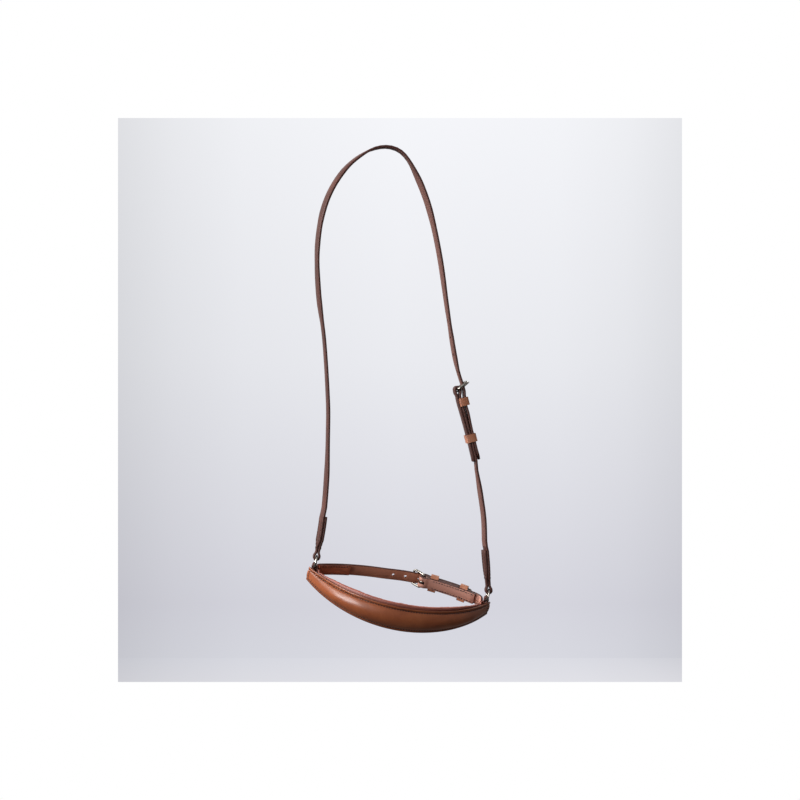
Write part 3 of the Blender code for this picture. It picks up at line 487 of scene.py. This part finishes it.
def dress(node, name, made_of, body, across, half_width, is_flesh=None, bevel=0.0, slim=0.0):
    """A welded, smooth copy of a leather node, with its cut edges and its flesh side marked."""
    bm = bmesh.new()
    bm.from_mesh(frame["nodes"][node].data)
    bmesh.ops.remove_doubles(bm, verts=bm.verts, dist=WELD_DISTANCE)
    if bevel:
        bmesh.ops.join_triangles(
            bm, faces=bm.faces, angle_face_threshold=JOINED_TILT, angle_shape_threshold=JOINED_SHAPE
        )
    bm.normal_update()
    for vertex, normal in [(v, v.normal.copy()) for v in bm.verts]:
        vertex.co -= normal * slim
    mesh = mesh_from(name, bm)
    reach = [v.co.dot(across) for v in mesh.vertices]
    middle = (max(reach) + min(reach)) / 2
    edge, flesh = [], []
    for face in mesh.polygons:
        on_side = abs(face.normal.dot(across)) > CUT_FACING
        rough_side = 1.0 if is_flesh and not on_side and is_flesh(face.center, face.normal) else 0.0
        for corner in face.vertices:
            off = abs(reach[corner] - middle)
            dye = DYE_STRENGTH * smoothstep(DYE_START * half_width, half_width, off)
            edge.append(1.0 if on_side else dye)
            flesh.append(rough_side)
    mask(mesh, "edge", edge)
    mask(mesh, "flesh", flesh)
    obj = put(name, mesh, made_of, body, STRAP_SHARP_DEGREES)
    if bevel:
        rounded = obj.modifiers.new("Rounded edges", "BEVEL")
        rounded.width = bevel
        rounded.segments = BEVEL_STEPS
        rounded.limit_method = "ANGLE"
        rounded.angle_limit = BEVEL_ANGLE
    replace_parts(obj, node)
    return obj


def circle_of(bm, centre, radius, aside, up, sides):
    """New points of a circle round a centre, in the plane of the two directions."""
    points = []
    for k in range(sides):
        turn = math.tau * k / sides
        points.append(bm.verts.new(centre + radius * (aside * math.cos(turn) + up * math.sin(turn))))
    return points


def skin_circles(bm, rings):
    """Faces from each circle of points to the next."""
    sides = len(rings[0])
    for a, b in zip(rings, rings[1:]):
        for k in range(sides):
            bm.faces.new((a[k], a[(k + 1) % sides], b[(k + 1) % sides], b[k]))


def fill_ends(bm, rings):
    """One face over each end of a skin."""
    bm.faces.new(rings[0])
    bm.faces.new(list(reversed(rings[-1])))


def stitch_into(bm, start, end, normal, radius):
    """One stitch: a thread that dips into its holes at both ends."""
    along = (end - start).normalized()
    aside = along.cross(normal).normalized()
    up = aside.cross(along).normalized()
    rings = []
    for share, lift, thick in STITCH_SHAPE:
        centre = start.lerp(end, share) + up * radius * lift
        rings.append(circle_of(bm, centre, radius * thick, aside, up, THREAD_SIDES))
    skin_circles(bm, rings)
    fill_ends(bm, rings)


def stitches(name, rows, made_of, body, radius=THREAD_RADIUS):
    """Rows of stitches as one piece. A row is a list of (point, normal) at the thread's holes."""
    bm = bmesh.new()
    for row in rows:
        for (a, normal_a), (b, normal_b) in zip(row, row[1:]):
            gap = (b - a) * (1.0 - STITCH_SHARE) / 2
            stitch_into(bm, a + gap, b - gap, (normal_a + normal_b).normalized(), radius)
    put(name, mesh_from(name, bm), made_of, body)


def surface_of(obj):
    bm = bmesh.new()
    bm.from_mesh(obj.data)
    tree = BVHTree.FromBMesh(bm)
    bm.free()
    return tree


def hole_on(surface, start, towards, reach):
    """Where a ray from start meets the surface, and the direction out of it, if it meets it squarely."""
    point, normal, _, _ = surface.ray_cast(start, towards, reach)
    if point is None or abs(normal.dot(towards)) < SQUARE_ENOUGH:
        return None
    return point, normal if normal.dot(towards) < 0 else -normal


def lap_rows(surface, line, sides=(-1, 1)):
    """Rows of holes along both edges of a sewn lap, on the chosen faces."""
    knots = [(Vector((x, 0.0, z)) * MM, turn, seam * MM) for x, z, turn, seam in line]
    rows = []
    for side in sides:
        for edge in (-1, 1):
            row = []
            for (start, turn, seam), (end, next_turn, next_seam) in zip(knots, knots[1:]):
                along = (end - start).normalized()
                count = max(1, round((end - start).length / STITCH_PITCH))
                for k in range(count):
                    share = k / count
                    angle = math.radians(turn + (next_turn - turn) * share)
                    twist = Matrix.Rotation(angle, 3, along)
                    across = twist @ Vector((0, 1, 0))
                    out = twist @ along.cross(Vector((0, 1, 0))) * side
                    place = start.lerp(end, share) + across * edge * (seam + (next_seam - seam) * share)
                    row.append(hole_on(surface, place + out * LAP_RAY, -out, LAP_RAY))
            rows.append([hole for hole in row if hole])
    return rows


def level_rows(surface, first, last, out, start_y):
    """Rows of holes along both edges of a stretch of the chin strap, from x to x of the loop's frame.

    The rays start at start_y and go against the way out of the strap, 1 for +y and -1 for -y.
    """
    rows = []
    count = max(1, round((last - first) / STITCH_PITCH))
    towards = LOOP.to_3x3() @ Vector((0, -out, 0))
    for edge in (-1, 1):
        row = []
        for k in range(count + 1):
            place = Vector((first + (last - first) * k / count, start_y, CHIN_LEVEL + edge * CHIN_SEAM))
            row.append(hole_on(surface, LOOP @ place, towards, CHIN_RAY))
        rows.append([hole for hole in row if hole])
    return rows


def nose_bump(s):
    """1 in the nosepiece's middle and 0 at its ends."""
    return math.cos(math.pi * s / 2)


def nose_height(s):
    """The nosepiece's height, from edge to edge."""
    return NOSE_END_HEIGHT + (NOSE_MIDDLE_HEIGHT - NOSE_END_HEIGHT) * nose_bump(s)


def nose_point(s, out, up):
    """A point of the nosepiece: s from -1 to 1 along it, out from its face, up from its middle."""
    angle = s * NOSE_HALF_ANGLE
    level = NOSE_END_LEVEL + (NOSE_MIDDLE_LEVEL - NOSE_END_LEVEL) * nose_bump(s)
    radius = NOSE_RADIUS + out + NOSE_FLARE * nose_bump(s) * up
    return LOOP @ Vector((radius * math.sin(angle), NOSE_CENTRE_Y - radius * math.cos(angle), level + up))


def gather(s):
    """1 at each hole of the nosepiece's seams and -1 between two holes."""
    return math.cos(math.tau * s * NOSE_HALF_ANGLE * NOSE_RADIUS / STITCH_PITCH)


def pricked(s):
    """How dark the seam's line is: full at each hole and faint between two."""
    return SEAM_FAINTEST + (1.0 - SEAM_FAINTEST) * max(0.0, gather(s)) ** PRICK_SHARPNESS


def crown_height(s, up):
    """The leather's face over the padding, with the seam drawn in at the padding's foot."""
    foot = nose_height(s) / 2 - FLANGE
    top = END_CROWN + (CROWN - END_CROWN) * smoothstep(0.0, CROWN_RUN, 1.0 - abs(s))
    rise = top * math.cos(math.pi / 2 * up / foot) ** CROWN_FULLNESS if abs(up) < foot else 0.0
    near = math.exp(-(((abs(up) - foot) / SEAM_WIDTH) ** 2))
    deep = SEAM_DEPTH if up > 0 else LOW_SEAM_DEPTH
    return rise - deep * (1.0 + SEAM_GATHER * gather(s)) * near


def close_skin(bm, rows):
    """Faces from each closed row of points to the next, and one over each end."""
    count = len(rows[0])
    for a, b in zip(rows, rows[1:]):
        for k in range(count):
            bm.faces.new((a[k], b[k], b[(k + 1) % count], a[(k + 1) % count]))
    fill_ends(bm, rows)


def nosepiece_leather(made_of):
    """The raised leather: flat sewn flanges, a drawn-in seam and a crowned face over the padding."""
    bm = bmesh.new()
    rows, seams, edges = [], [], []
    for i in range(LEATHER_STEPS_ALONG + 1):
        s = -1.0 + 2.0 * i / LEATHER_STEPS_ALONG
        half = nose_height(s) / 2
        foot = half - FLANGE
        profile = []
        for k in range(LEATHER_STEPS_ACROSS + 1):
            t = -1.0 + 2.0 * k / LEATHER_STEPS_ACROSS
            up = half * ((1.0 - RIM_CROWDING) * t + RIM_CROWDING * math.sin(math.pi / 2 * t))
            wave = noise.noise(Vector((s * UNEVEN_ALONG, up / MM * UNEVEN_UP, UNEVEN_SEED)))
            lift = crown_height(s, up) + UNEVENNESS * wave * smoothstep(foot, foot * UNEVEN_WITHIN, abs(up))
            rim = smoothstep(half - RIM_WIDTH, half, abs(up))
            profile.append((lift - RIM_DROP * rim * rim, up))
            seams.append(pricked(s) * math.exp(-(((abs(up) - foot) / SEAM_SHADE_WIDTH) ** 2)))
            # Painted shade: the lower flange darkens from the seam to near its cut edge, like an underside
            # out of the light; the top rim gets only its stain
            low_flange_shade = LOW_FLANGE_SHADE * smoothstep(foot, half - LOW_SHADE_MARGIN, -up)
            edges.append(TOP_RIM_STAIN * rim if up > 0 else low_flange_shade)
        for share in BACK_PLACES:
            is_corner = share in (0.0, 1.0)
            up = (half - (BACK_CORNER_INSET if is_corner else 0.0)) * (1.0 - 2.0 * share)
            profile.append((-OUTER_THICKNESS + (BACK_CORNER_LIFT if is_corner else 0.0), up))
            seams.append(0.0)
            edges.append(1.0)
        rows.append([bm.verts.new(nose_point(s, out, up)) for out, up in profile])
    close_skin(bm, rows)
    mesh = mesh_from("nosepiece_leather", bm)
    mask(mesh, "seam", seams, "POINT")
    mask(mesh, "edge", edges, "POINT")
    obj = put("nosepiece_leather", mesh, made_of, "nose_loop", NOSE_SHARP_DEGREES)
    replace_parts(obj, "nosepiece_outer", "nosepiece_filler")


def swell(mesh, held):
    """Blows the closed mesh up as cloth that is sewn down where held is 1, and keeps the result."""
    scene = bpy.context.scene
    flat = [vertex.co.copy() for vertex in mesh.vertices]
    for vertex in mesh.vertices:
        vertex.co *= CLOTH_SCALE
    obj = bpy.data.objects.new("lining_cloth", mesh)
    scene.collection.objects.link(obj)
    sewn = obj.vertex_groups.new(name="sewn")
    for i, weight in enumerate(held):
        sewn.add([i], weight, "REPLACE")
    cloth = obj.modifiers.new("Swelling", "CLOTH")
    cloth.settings.use_pressure = True
    cloth.settings.uniform_pressure_force = CLOTH_PRESSURE
    cloth.settings.shrink_min = CLOTH_SLACK
    cloth.settings.vertex_group_mass = sewn.name
    cloth.settings.effector_weights.gravity = 0.0
    cloth.collision_settings.use_collision = False
    cloth.point_cache.frame_end = CLOTH_FRAMES
    for number in range(1, CLOTH_FRAMES + 1):
        scene.frame_set(number)
    swollen = obj.evaluated_get(bpy.context.evaluated_depsgraph_get()).data.vertices
    moves = [end.co / CLOTH_SCALE - start for start, end in zip(flat, swollen)]
    scene.frame_set(1)
    bpy.data.objects.remove(obj, do_unlink=True)
    for vertex, start, move in zip(mesh.vertices, flat, moves):
        reach = max(move.length, LEAST_MOVE)
        vertex.co = start + move * MOST_SWELL * math.tanh(reach / MOST_SWELL) / reach


def nosepiece_padding(made_of):
    """The soft lining: a padded roll behind the leather, gathered where it is sewn, with painted shade at
    its tucked-in front and the top of its back.
    """
    room, rise = ((ROOM_TO_SWELL, ROUNDED_OFF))
    rows, seams, edges, held = [], [], [], []
    bm = bmesh.new()
    for i in range(LINING_STEPS_ALONG + 1):
        s = -1.0 + 2.0 * i / LINING_STEPS_ALONG
        fill = math.sin(math.pi / 2 * min(1.0, max(0.0, (FILL_END - abs(s)) / FILL_RUN)))
        thick = LINING_END_THICKNESS + (LINING_MIDDLE_THICKNESS - LINING_END_THICKNESS) * fill - room * fill
        proud = LINING_END_PROUD + (LINING_PROUD - LINING_END_PROUD + rise) * fill
        low = -nose_height(s) / 2 + LINING_FOOT
        high = nose_height(s) / 2 + proud
        off_tab = abs(abs(s) * NOSE_HALF_ANGLE - TAB_ANGLE) * NOSE_RADIUS
        front = LINING_FRONT - TAB_ROOM * (1.0 - smoothstep(TAB_ROOM_FULL, TAB_ROOM_ENDS, off_tab))
        row = []
        for k in range(LINING_STEPS_AROUND):
            angle = math.tau * (k + 0.5) / LINING_STEPS_AROUND
            out = math.copysign(abs(math.cos(angle)) ** ROLL_SQUARENESS, math.cos(angle))
            up = math.copysign(abs(math.sin(angle)) ** ROLL_SQUARENESS, math.sin(angle))
            drawn = LINING_GATHER * fill * gather(s) * max(0.0, out) * abs(up)
            spot = Vector((s * FOLDS_ALONG, out * FOLDS_DEEP, up * FOLDS_UP + FOLD_SEED))
            wave = FOLD_DEPTH * fill * noise.noise(spot) * (1.0 - out) / 2
            depth = front - thick / 2 + out * thick / 2 + drawn - wave
            row.append(bm.verts.new(nose_point(s, depth, (low + high) / 2 + up * (high - low) / 2)))
            # Painted shade: the roll's front, where it tucks in behind the leather, goes into the seam
            # mask, and the top of its padded back goes into the edge mask
            seams.append(FRONT_SHADE * smoothstep(*SHADED_FRONT, out))
            edges.append(BACK_SHADE * fill * smoothstep(*SHADED_BACK, out) * smoothstep(*SHADED_TOP, up))
            held.append(max(smoothstep(*SEWN_FRONT, out), smoothstep(*SEWN_ENDS, abs(s))))
        rows.append(row)
    close_skin(bm, rows)
    mesh = mesh_from("nosepiece_padding", bm)
    swell(mesh, held)
    # On the lining these two masks carry painted shade, not seams and dyed edges
    mask(mesh, "seam", seams, "POINT")
    mask(mesh, "edge", edges, "POINT")
    obj = put("nosepiece_padding", mesh, made_of, "nose_loop", LINING_SHARP_DEGREES)
    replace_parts(obj, "nosepiece_lining")


def face_spot(s, up):
    """A point on the nosepiece's face and the direction out of it."""
    here = nose_point(s, crown_height(s, up) + THREAD_LIFT, up)
    after = nose_point(s + SLOPE_STEP, crown_height(s, up), up)
    before = nose_point(s - SLOPE_STEP, crown_height(s, up), up)
    above = nose_point(s, 0.0, up + MM) - nose_point(s, 0.0, up - MM)
    return here, (after - before).cross(above).normalized()


def nose_rows():
    """The holes of the two seams along the padding's foot, and of the short seams at its ends."""
    arc = NOSE_HALF_ANGLE * NOSE_RADIUS
    reach = 1.0 - END_SEAM_INSET / arc
    rows = []
    count = round(2 * arc * reach / STITCH_PITCH)
    for side in (-1, 1):
        row = []
        for k in range(count + 1):
            s = reach * (-1.0 + 2.0 * k / count)
            row.append(face_spot(s, side * (nose_height(s) / 2 - FLANGE)))
        rows.append(row)
    for s in (-reach, reach):
        foot = nose_height(s) / 2 - FLANGE
        steps = round(2 * foot / STITCH_PITCH)
        rows.append([face_spot(s, foot * (-1.0 + 2.0 * k / steps)) for k in range(steps + 1)])
    return rows


def buckle_axes(frame_node, tongue_node, joint):
    """The buckle's own axes: x to its toe bar, y along its heel bar and z to the tongue's side."""
    bar = Vector(joint["pos_m"])
    y = Vector(joint["axis"]).normalized()
    low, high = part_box(frame_node)
    x = (low + high) / 2 - bar
    x = (x - y * x.dot(y)).normalized()
    z = x.cross(y)
    low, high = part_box(tongue_node)
    if ((low + high) / 2 - bar).dot(z) < 0:
        y, z = -y, -z
    return Matrix.Translation(bar) @ Matrix((x, y, z)).transposed().to_4x4()


def tube(name, points, radii, closed):
    """A round wire through the points with a radius at each. An open one has filled ends."""
    bm = bmesh.new()
    rings = []
    count = len(points)
    for i, point in enumerate(points):
        behind = points[(i - 1) % count] if closed or i else point
        ahead = points[(i + 1) % count] if closed or i < count - 1 else point
        along = (ahead - behind).normalized()
        up = Vector((0, 0, 1)) if closed else Vector((0, 1, 0))
        aside = along.cross(up).normalized()
        rings.append(circle_of(bm, point, radii[i], aside, up, WIRE_SIDES))
    if closed:
        rings.append(rings[0])
    skin_circles(bm, rings)
    if not closed:
        fill_ends(bm, rings)
    return mesh_from(name, bm)


def joint_named(name):
    return next(joint for joint in frame["joints"] if joint["name"] == name)


def frame_line():
    """The rounded rectangle that a buckle frame's wire follows."""
    outline = []
    for quarter, (x, y) in enumerate(((1, 1), (0, 1), (0, -1), (1, -1))):
        centre_x = BUCKLE_LENGTH - BUCKLE_CORNER if x else BUCKLE_CORNER
        centre_y = y * (BUCKLE_HALF_WIDTH - BUCKLE_CORNER)
        for k in range(CORNER_STEPS + 1):
            turn = math.pi / 2 * (quarter + k / CORNER_STEPS)
            reach = Vector((math.cos(turn), math.sin(turn), 0.0)) * BUCKLE_CORNER
            outline.append(Vector((centre_x, centre_y, 0.0)) + reach)
    return outline


def tongue_line():
    """A tongue's line and its radius at each point: the eye, the shank and the tapered tip."""
    line, radii = [], []
    for degrees in range(EYE_FROM, EYE_TO, -EYE_STEP):
        turn = math.radians(degrees)
        line.append(Vector((TONGUE_EYE * math.cos(turn), 0.0, TONGUE_EYE * math.sin(turn))))
        radii.append(TONGUE_WIRE)
    reach = BUCKLE_LENGTH + BUCKLE_WIRE
    for k in range(1, TONGUE_STEPS + 1):
        share = k / TONGUE_STEPS
        line.append(Vector((reach * share, 0.0, TONGUE_EYE)))
        radii.append(TONGUE_WIRE * (1.0 - TONGUE_TAPER * share))
    for k in range(1, TIP_STEPS + 1):
        line.append(Vector((reach + TIP_STEP_LENGTH * k, 0.0, TONGUE_EYE - TIP_STEP_DROP * k)))
        radii.append(TONGUE_WIRE * (1.0 - TONGUE_TAPER - TIP_STEP_TAPER * k))
    return line, radii


def buckle(prefix, made_of):
    """The wire frame and the tongue of one buckle, which stand for its two nodes."""
    frame_node, tongue_node = prefix + "_buckle_frame", prefix + "_buckle_tongue"
    axes = buckle_axes(frame_node, tongue_node, joint_named(prefix + "_buckle_swing"))
    outline = frame_line()
    mesh = tube(prefix + "_buckle", outline, [BUCKLE_WIRE] * len(outline), True)
    mesh.transform(axes)
    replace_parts(put(prefix + "_buckle", mesh, made_of, prefix + "_buckle"), frame_node)

    mesh = tube(prefix + "_tongue", *tongue_line(), False)
    mesh.transform(axes)
    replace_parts(put(prefix + "_tongue_pin", mesh, made_of, prefix + "_tongue"), tongue_node)


def ring(side, made_of):
    """A wire ring round its turning axis."""
    joint = joint_named(side + "_ring_turn")
    bpy.ops.mesh.primitive_torus_add(
        major_radius=RING_RADIUS, minor_radius=RING_WIRE,
        major_segments=RING_STEPS, minor_segments=RING_SIDES,
    )
    made = bpy.context.object
    mesh = made.data
    bpy.data.objects.remove(made, do_unlink=True)
    turn = Vector((0, 0, 1)).rotation_difference(Vector(joint["axis"])).to_matrix().to_4x4()
    mesh.transform(Matrix.Translation(joint["pos_m"]) @ turn)
    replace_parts(put(side + "_wire_ring", mesh, made_of, side + "_ring_body"), side + "_ring")


def faces_in(centre):
    """A test of whether a face looks towards a point inside the strap's loop."""
    return lambda place, normal: normal.dot((centre - place).normalized()) > FLESH_FACING


def make_straps(strap_leather, keeper_leather, thread):
    """The head strap and the cheek strap with their keepers and seams."""
    y_axis = Vector((0, 1, 0))
    inner = faces_in(HEAD_MIDDLE)

    def head_flesh(place, normal):
        return inner(place, normal) and place.z > HEAD_FLESH_FROM

    def cheek_flesh(place, normal):
        return inner(place, normal) and CHEEK_FLESH_FROM < place.z < CHEEK_FLESH_TO

    head = dress(
        "head_strap", "head_strap_leather", strap_leather, "straps", y_axis,
        STRAP_HALF_WIDTH, is_flesh=head_flesh,
    )
    cheek = dress(
        "cheek_strap", "cheek_strap_leather", strap_leather, "straps", y_axis,
        STRAP_HALF_WIDTH, is_flesh=cheek_flesh,
    )
    for kind, body in (("fixed", "straps"), ("sliding", "sliding_keeper")):
        dress(
            f"head_{kind}_keeper", f"head_keeper_{kind}", keeper_leather, body,
            Vector(HEAD_KEEPER_LINE), KEEPER_HALF_LENGTH, bevel=KEEPER_ROUNDING,
        )
    rows = lap_rows(surface_of(head), HEAD_RING_LAP)
    cheek_surface = surface_of(cheek)
    rows += lap_rows(cheek_surface, CHEEK_RING_LAP)
    rows += lap_rows(cheek_surface, CHEEK_BUCKLE_LAP, sides=(1,))
    stitches("head_strap_stitches", rows, thread, "straps")


def sag(mesh, up):
    """Lets a keeper's lower half hang a little below the straps that it holds."""
    reach = [vertex.co.dot(up) for vertex in mesh.vertices]
    low, middle = min(reach), (min(reach) + max(reach)) / 2
    for vertex, level in zip(mesh.vertices, reach):
        vertex.co -= up * KEEPER_SAG * smoothstep(middle, low + SAG_FULL_UNTIL, level)


def make_chin(strap_leather, billet_leather, lap_leather, keeper_leather, lining_leather, thread):
    """The chin strap's billet, lining, buckle strap and keepers, and the hanger tabs."""
    loop_y = LOOP.to_3x3() @ Vector((0, 1, 0))
    loop_z = LOOP.to_3x3() @ Vector((0, 0, 1))
    inner = faces_in(LOOP @ CHIN_MIDDLE)

    def inside_single(place, normal):
        return inner(place, normal) and (LOOP.inverted() @ place).y > CHIN_SINGLE_FROM

    billet = dress(
        "chin_billet", "chin_billet_leather", billet_leather, "nose_loop", loop_z,
        STRAP_HALF_WIDTH, is_flesh=inside_single,
    )
    lining = dress(
        "chin_billet_lining", "chin_billet_lining_leather", lining_leather, "nose_loop",
        loop_z, CHIN_LINING_HALF_WIDTH,
    )
    lap = dress(
        "chin_buckle_strap", "chin_buckle_strap_leather", lap_leather, "nose_loop", loop_z,
        STRAP_HALF_WIDTH, is_flesh=inner,
    )
    for number, along in enumerate(CHIN_KEEPER_LINES, start=1):
        band = dress(
            f"chin_keeper_{number}", f"chin_band_{number}", keeper_leather, "nose_loop",
            Vector(along), KEEPER_HALF_LENGTH, bevel=KEEPER_ROUNDING,
        )
        sag(band.data, loop_z)
    for side in ("left", "right"):
        dress(
            f"{side}_hanger_tab", f"{side}_tab_leather", strap_leather, "nose_loop",
            loop_y, TAB_HALF_WIDTH, slim=TAB_SLIM,
        )

    rows = level_rows(surface_of(lap), *CHIN_LAP, -1, 0.0)
    stitches("chin_lap_stitches", rows, thread, "nose_loop", LAP_THREAD_RADIUS)
    rows = level_rows(surface_of(lining), *CHIN_LINED, -1, 0.0)
    rows += level_rows(surface_of(billet), *CHIN_LINED, 1, BEHIND_CHIN)
    stitches("chin_billet_stitches", rows, thread, "nose_loop")


def make_camera():
    data = bpy.data.cameras.new("camera")
    data.lens = LENS_MM
    data.sensor_width = SENSOR_MM
    camera = bpy.data.objects.new("camera", data)
    camera.location = CAMERA_PLACE
    camera.rotation_euler = (math.pi / 2, 0.0, CAMERA_YAW)
    bpy.context.scene.collection.objects.link(camera)
    bpy.context.scene.camera = camera


def lamp(name, energy, size, place, only_gloss=False):
    """A soft square lamp that faces the object. One for the gloss alone gives no other light."""
    data = bpy.data.lights.new(name, "AREA")
    data.energy = energy
    data.size = size
    obj = bpy.data.objects.new(name, data)
    obj.location = place
    obj.rotation_euler = (Vector(LAMP_AIM) - Vector(place)).to_track_quat("-Z", "Y").to_euler()
    obj.visible_diffuse = not only_gloss
    bpy.context.scene.collection.objects.link(obj)


def seen_rays(tree):
    """1 for camera and transmission rays, and 0 for the rays that light the object.

    Glossy rays get 1 just above the horizon and fade below it, which keeps the gloss of undersides
    dark.
    """
    path = add(tree, "ShaderNodeLightPath")
    direction = add(tree, "ShaderNodeTexCoord").outputs["Generated"]
    way = add(tree, "ShaderNodeSeparateXYZ", {"Vector": direction})
    heights = {"Value": way.outputs["Z"], "From Min": GLOSS_DARK_BELOW, "From Max": GLOSS_BRIGHT_ABOVE}
    above = add(tree, "ShaderNodeMapRange", heights)
    glossy = math_node(tree, "MULTIPLY", path.outputs["Is Glossy Ray"], above.outputs["Result"])
    both = math_node(tree, "ADD", path.outputs["Is Camera Ray"], glossy)
    return math_node(tree, "ADD", both, path.outputs["Is Transmission Ray"])


def make_world():
    world = bpy.data.worlds.new("world")
    world.use_nodes = True
    bpy.context.scene.world = world
    tree = world.node_tree
    background = tree.nodes["Background"]
    strength = add(
        tree, "ShaderNodeMapRange", {"Value": seen_rays(tree), "To Min": FILL_STRENGTH, "To Max": 1.0}
    )
    tree.links.new(strength.outputs["Result"], background.inputs["Strength"])
    background.inputs["Color"].default_value = (1.0, 1.0, 1.0, 1.0)


def backdrop_material(name, tones, axis):
    """A glowing surface with painted light: its tone changes along one of its own axes and falls off to its
    sides.
    """
    made = bpy.data.materials.new(name)
    made.use_nodes = True
    tree = made.node_tree
    tree.nodes.remove(tree.nodes["Principled BSDF"])
    place = add(tree, "ShaderNodeTexCoord").outputs["Generated"]
    split = add(tree, "ShaderNodeSeparateXYZ", {"Vector": place})
    colour = screen_ramp(tree, split.outputs[axis], tones)
    fall = ramp(tree, split.outputs["X"], [(at, (share, share, share, 1.0)) for at, share in SIDE_LIGHT_FALLOFF])
    colour = mix_colour(tree, 1.0, colour, fall, "MULTIPLY")
    glow = add(tree, "ShaderNodeEmission", {"Color": colour, "Strength": 1.0})
    tree.links.new(glow.outputs[0], tree.nodes["Material Output"].inputs["Surface"])
    return made


def stage_plane(name, corners, made_of):
    """A flat four-cornered part of the studio."""
    mesh = bpy.data.meshes.new(name)
    mesh.from_pydata([tuple(corner) for corner in corners], [], [(0, 1, 2, 3)])
    mesh.materials.append(made_of)
    obj = bpy.data.objects.new(name, mesh)
    bpy.context.scene.collection.objects.link(obj)


def make_studio():
    """A pale glowing backdrop with a strip of floor, both with painted light, white surroundings, and soft
    lamps.
    """
    make_world()
    eye = Vector(CAMERA_PLACE)
    look = Vector((math.sin(-CAMERA_YAW), math.cos(CAMERA_YAW), 0.0))
    right = Vector((look.y, -look.x, 0.0))
    half = BACKDROP_SIDE / 2
    floor_line = -half + BACKDROP_SIDE * FLOOR_SHARE

    def on_wall(x, z):
        return eye + look * BACKDROP_DISTANCE + right * x + Vector((0, 0, z))

    corners = ((-half, floor_line), (half, floor_line), (half, half), (-half, half))
    wall = [on_wall(x, z) for x, z in corners]
    nearer = -floor_line / half
    floor = wall[:2] + [eye + (on_wall(x, -half) - eye) * nearer for x in (half, -half)]
    stage_plane("backdrop", wall, backdrop_material("backdrop", WALL_TONES, "Z"))
    stage_plane("studio_floor", floor, backdrop_material("studio_floor", FLOOR_TONES, "Y"))
    for values in LAMPS:
        lamp(*values)
    lamp(*GLINT_LAMP, only_gloss=True)
    bpy.context.scene.view_settings.view_transform = "Standard"


def main():
    make_camera()
    make_studio()
    strap_leather = leather(
        "strap_leather_look", deep=(58, 31, 25), middle=(71, 40, 33), light=(88, 52, 42),
        edge=(80, 48, 42), flesh=(118, 83, 75), shine=0.12,
    )
    billet_leather = leather(
        "billet_leather_look", deep=(66, 35, 27), middle=(80, 44, 34), light=(98, 57, 43),
        edge=(72, 40, 33), flesh=(196, 128, 100), shine=0.12,
    )
    lap_leather = leather(
        "lap_leather_look", deep=(66, 35, 27), middle=(80, 44, 34), light=(98, 57, 43),
        edge=(74, 40, 32), flesh=(214, 154, 134), rough=(0.5, 0.62), shine=0.3,
    )
    keeper_leather = leather(
        "keeper_leather_look", deep=(204, 128, 92), middle=(226, 148, 110), light=(238, 166, 128),
        edge=(96, 54, 40),
    )
    # The raised leather's and the lining's edge colours also serve as painted shade: on the lower flange
    # and on the roll's front and back top
    raised_leather = leather(
        "raised_leather_look", deep=(134, 71, 42), middle=(152, 83, 50), light=(164, 94, 58),
        edge=(70, 34, 24), rough=(0.3, 0.38), grain=0.25, shine=0.24,
    )
    lining_leather = leather(
        "lining_leather_look", deep=(142, 72, 56), middle=(166, 90, 72), light=(182, 104, 88),
        edge=(84, 36, 28), rough=(0.45, 0.56), grain=0.45, shine=0.35,
    )
    chin_lining = leather(
        "chin_lining_leather_look", deep=(184, 100, 70), middle=(208, 116, 82), light=(222, 132, 94),
        edge=(110, 54, 40), rough=(0.5, 0.6), grain=0.3, shine=0.2,
    )
    thread = thread_material()
    metal = metal_material()
    make_straps(strap_leather, keeper_leather, thread)
    make_chin(strap_leather, billet_leather, lap_leather, keeper_leather, chin_lining, thread)
    nosepiece_leather(raised_leather)
    nosepiece_padding(lining_leather)
    stitches("nosepiece_stitches", nose_rows(), thread, "nose_loop")
    for prefix in ("head", "chin"):
        buckle(prefix, metal)
    for side in ("left", "right"):
        ring(side, metal)


main()
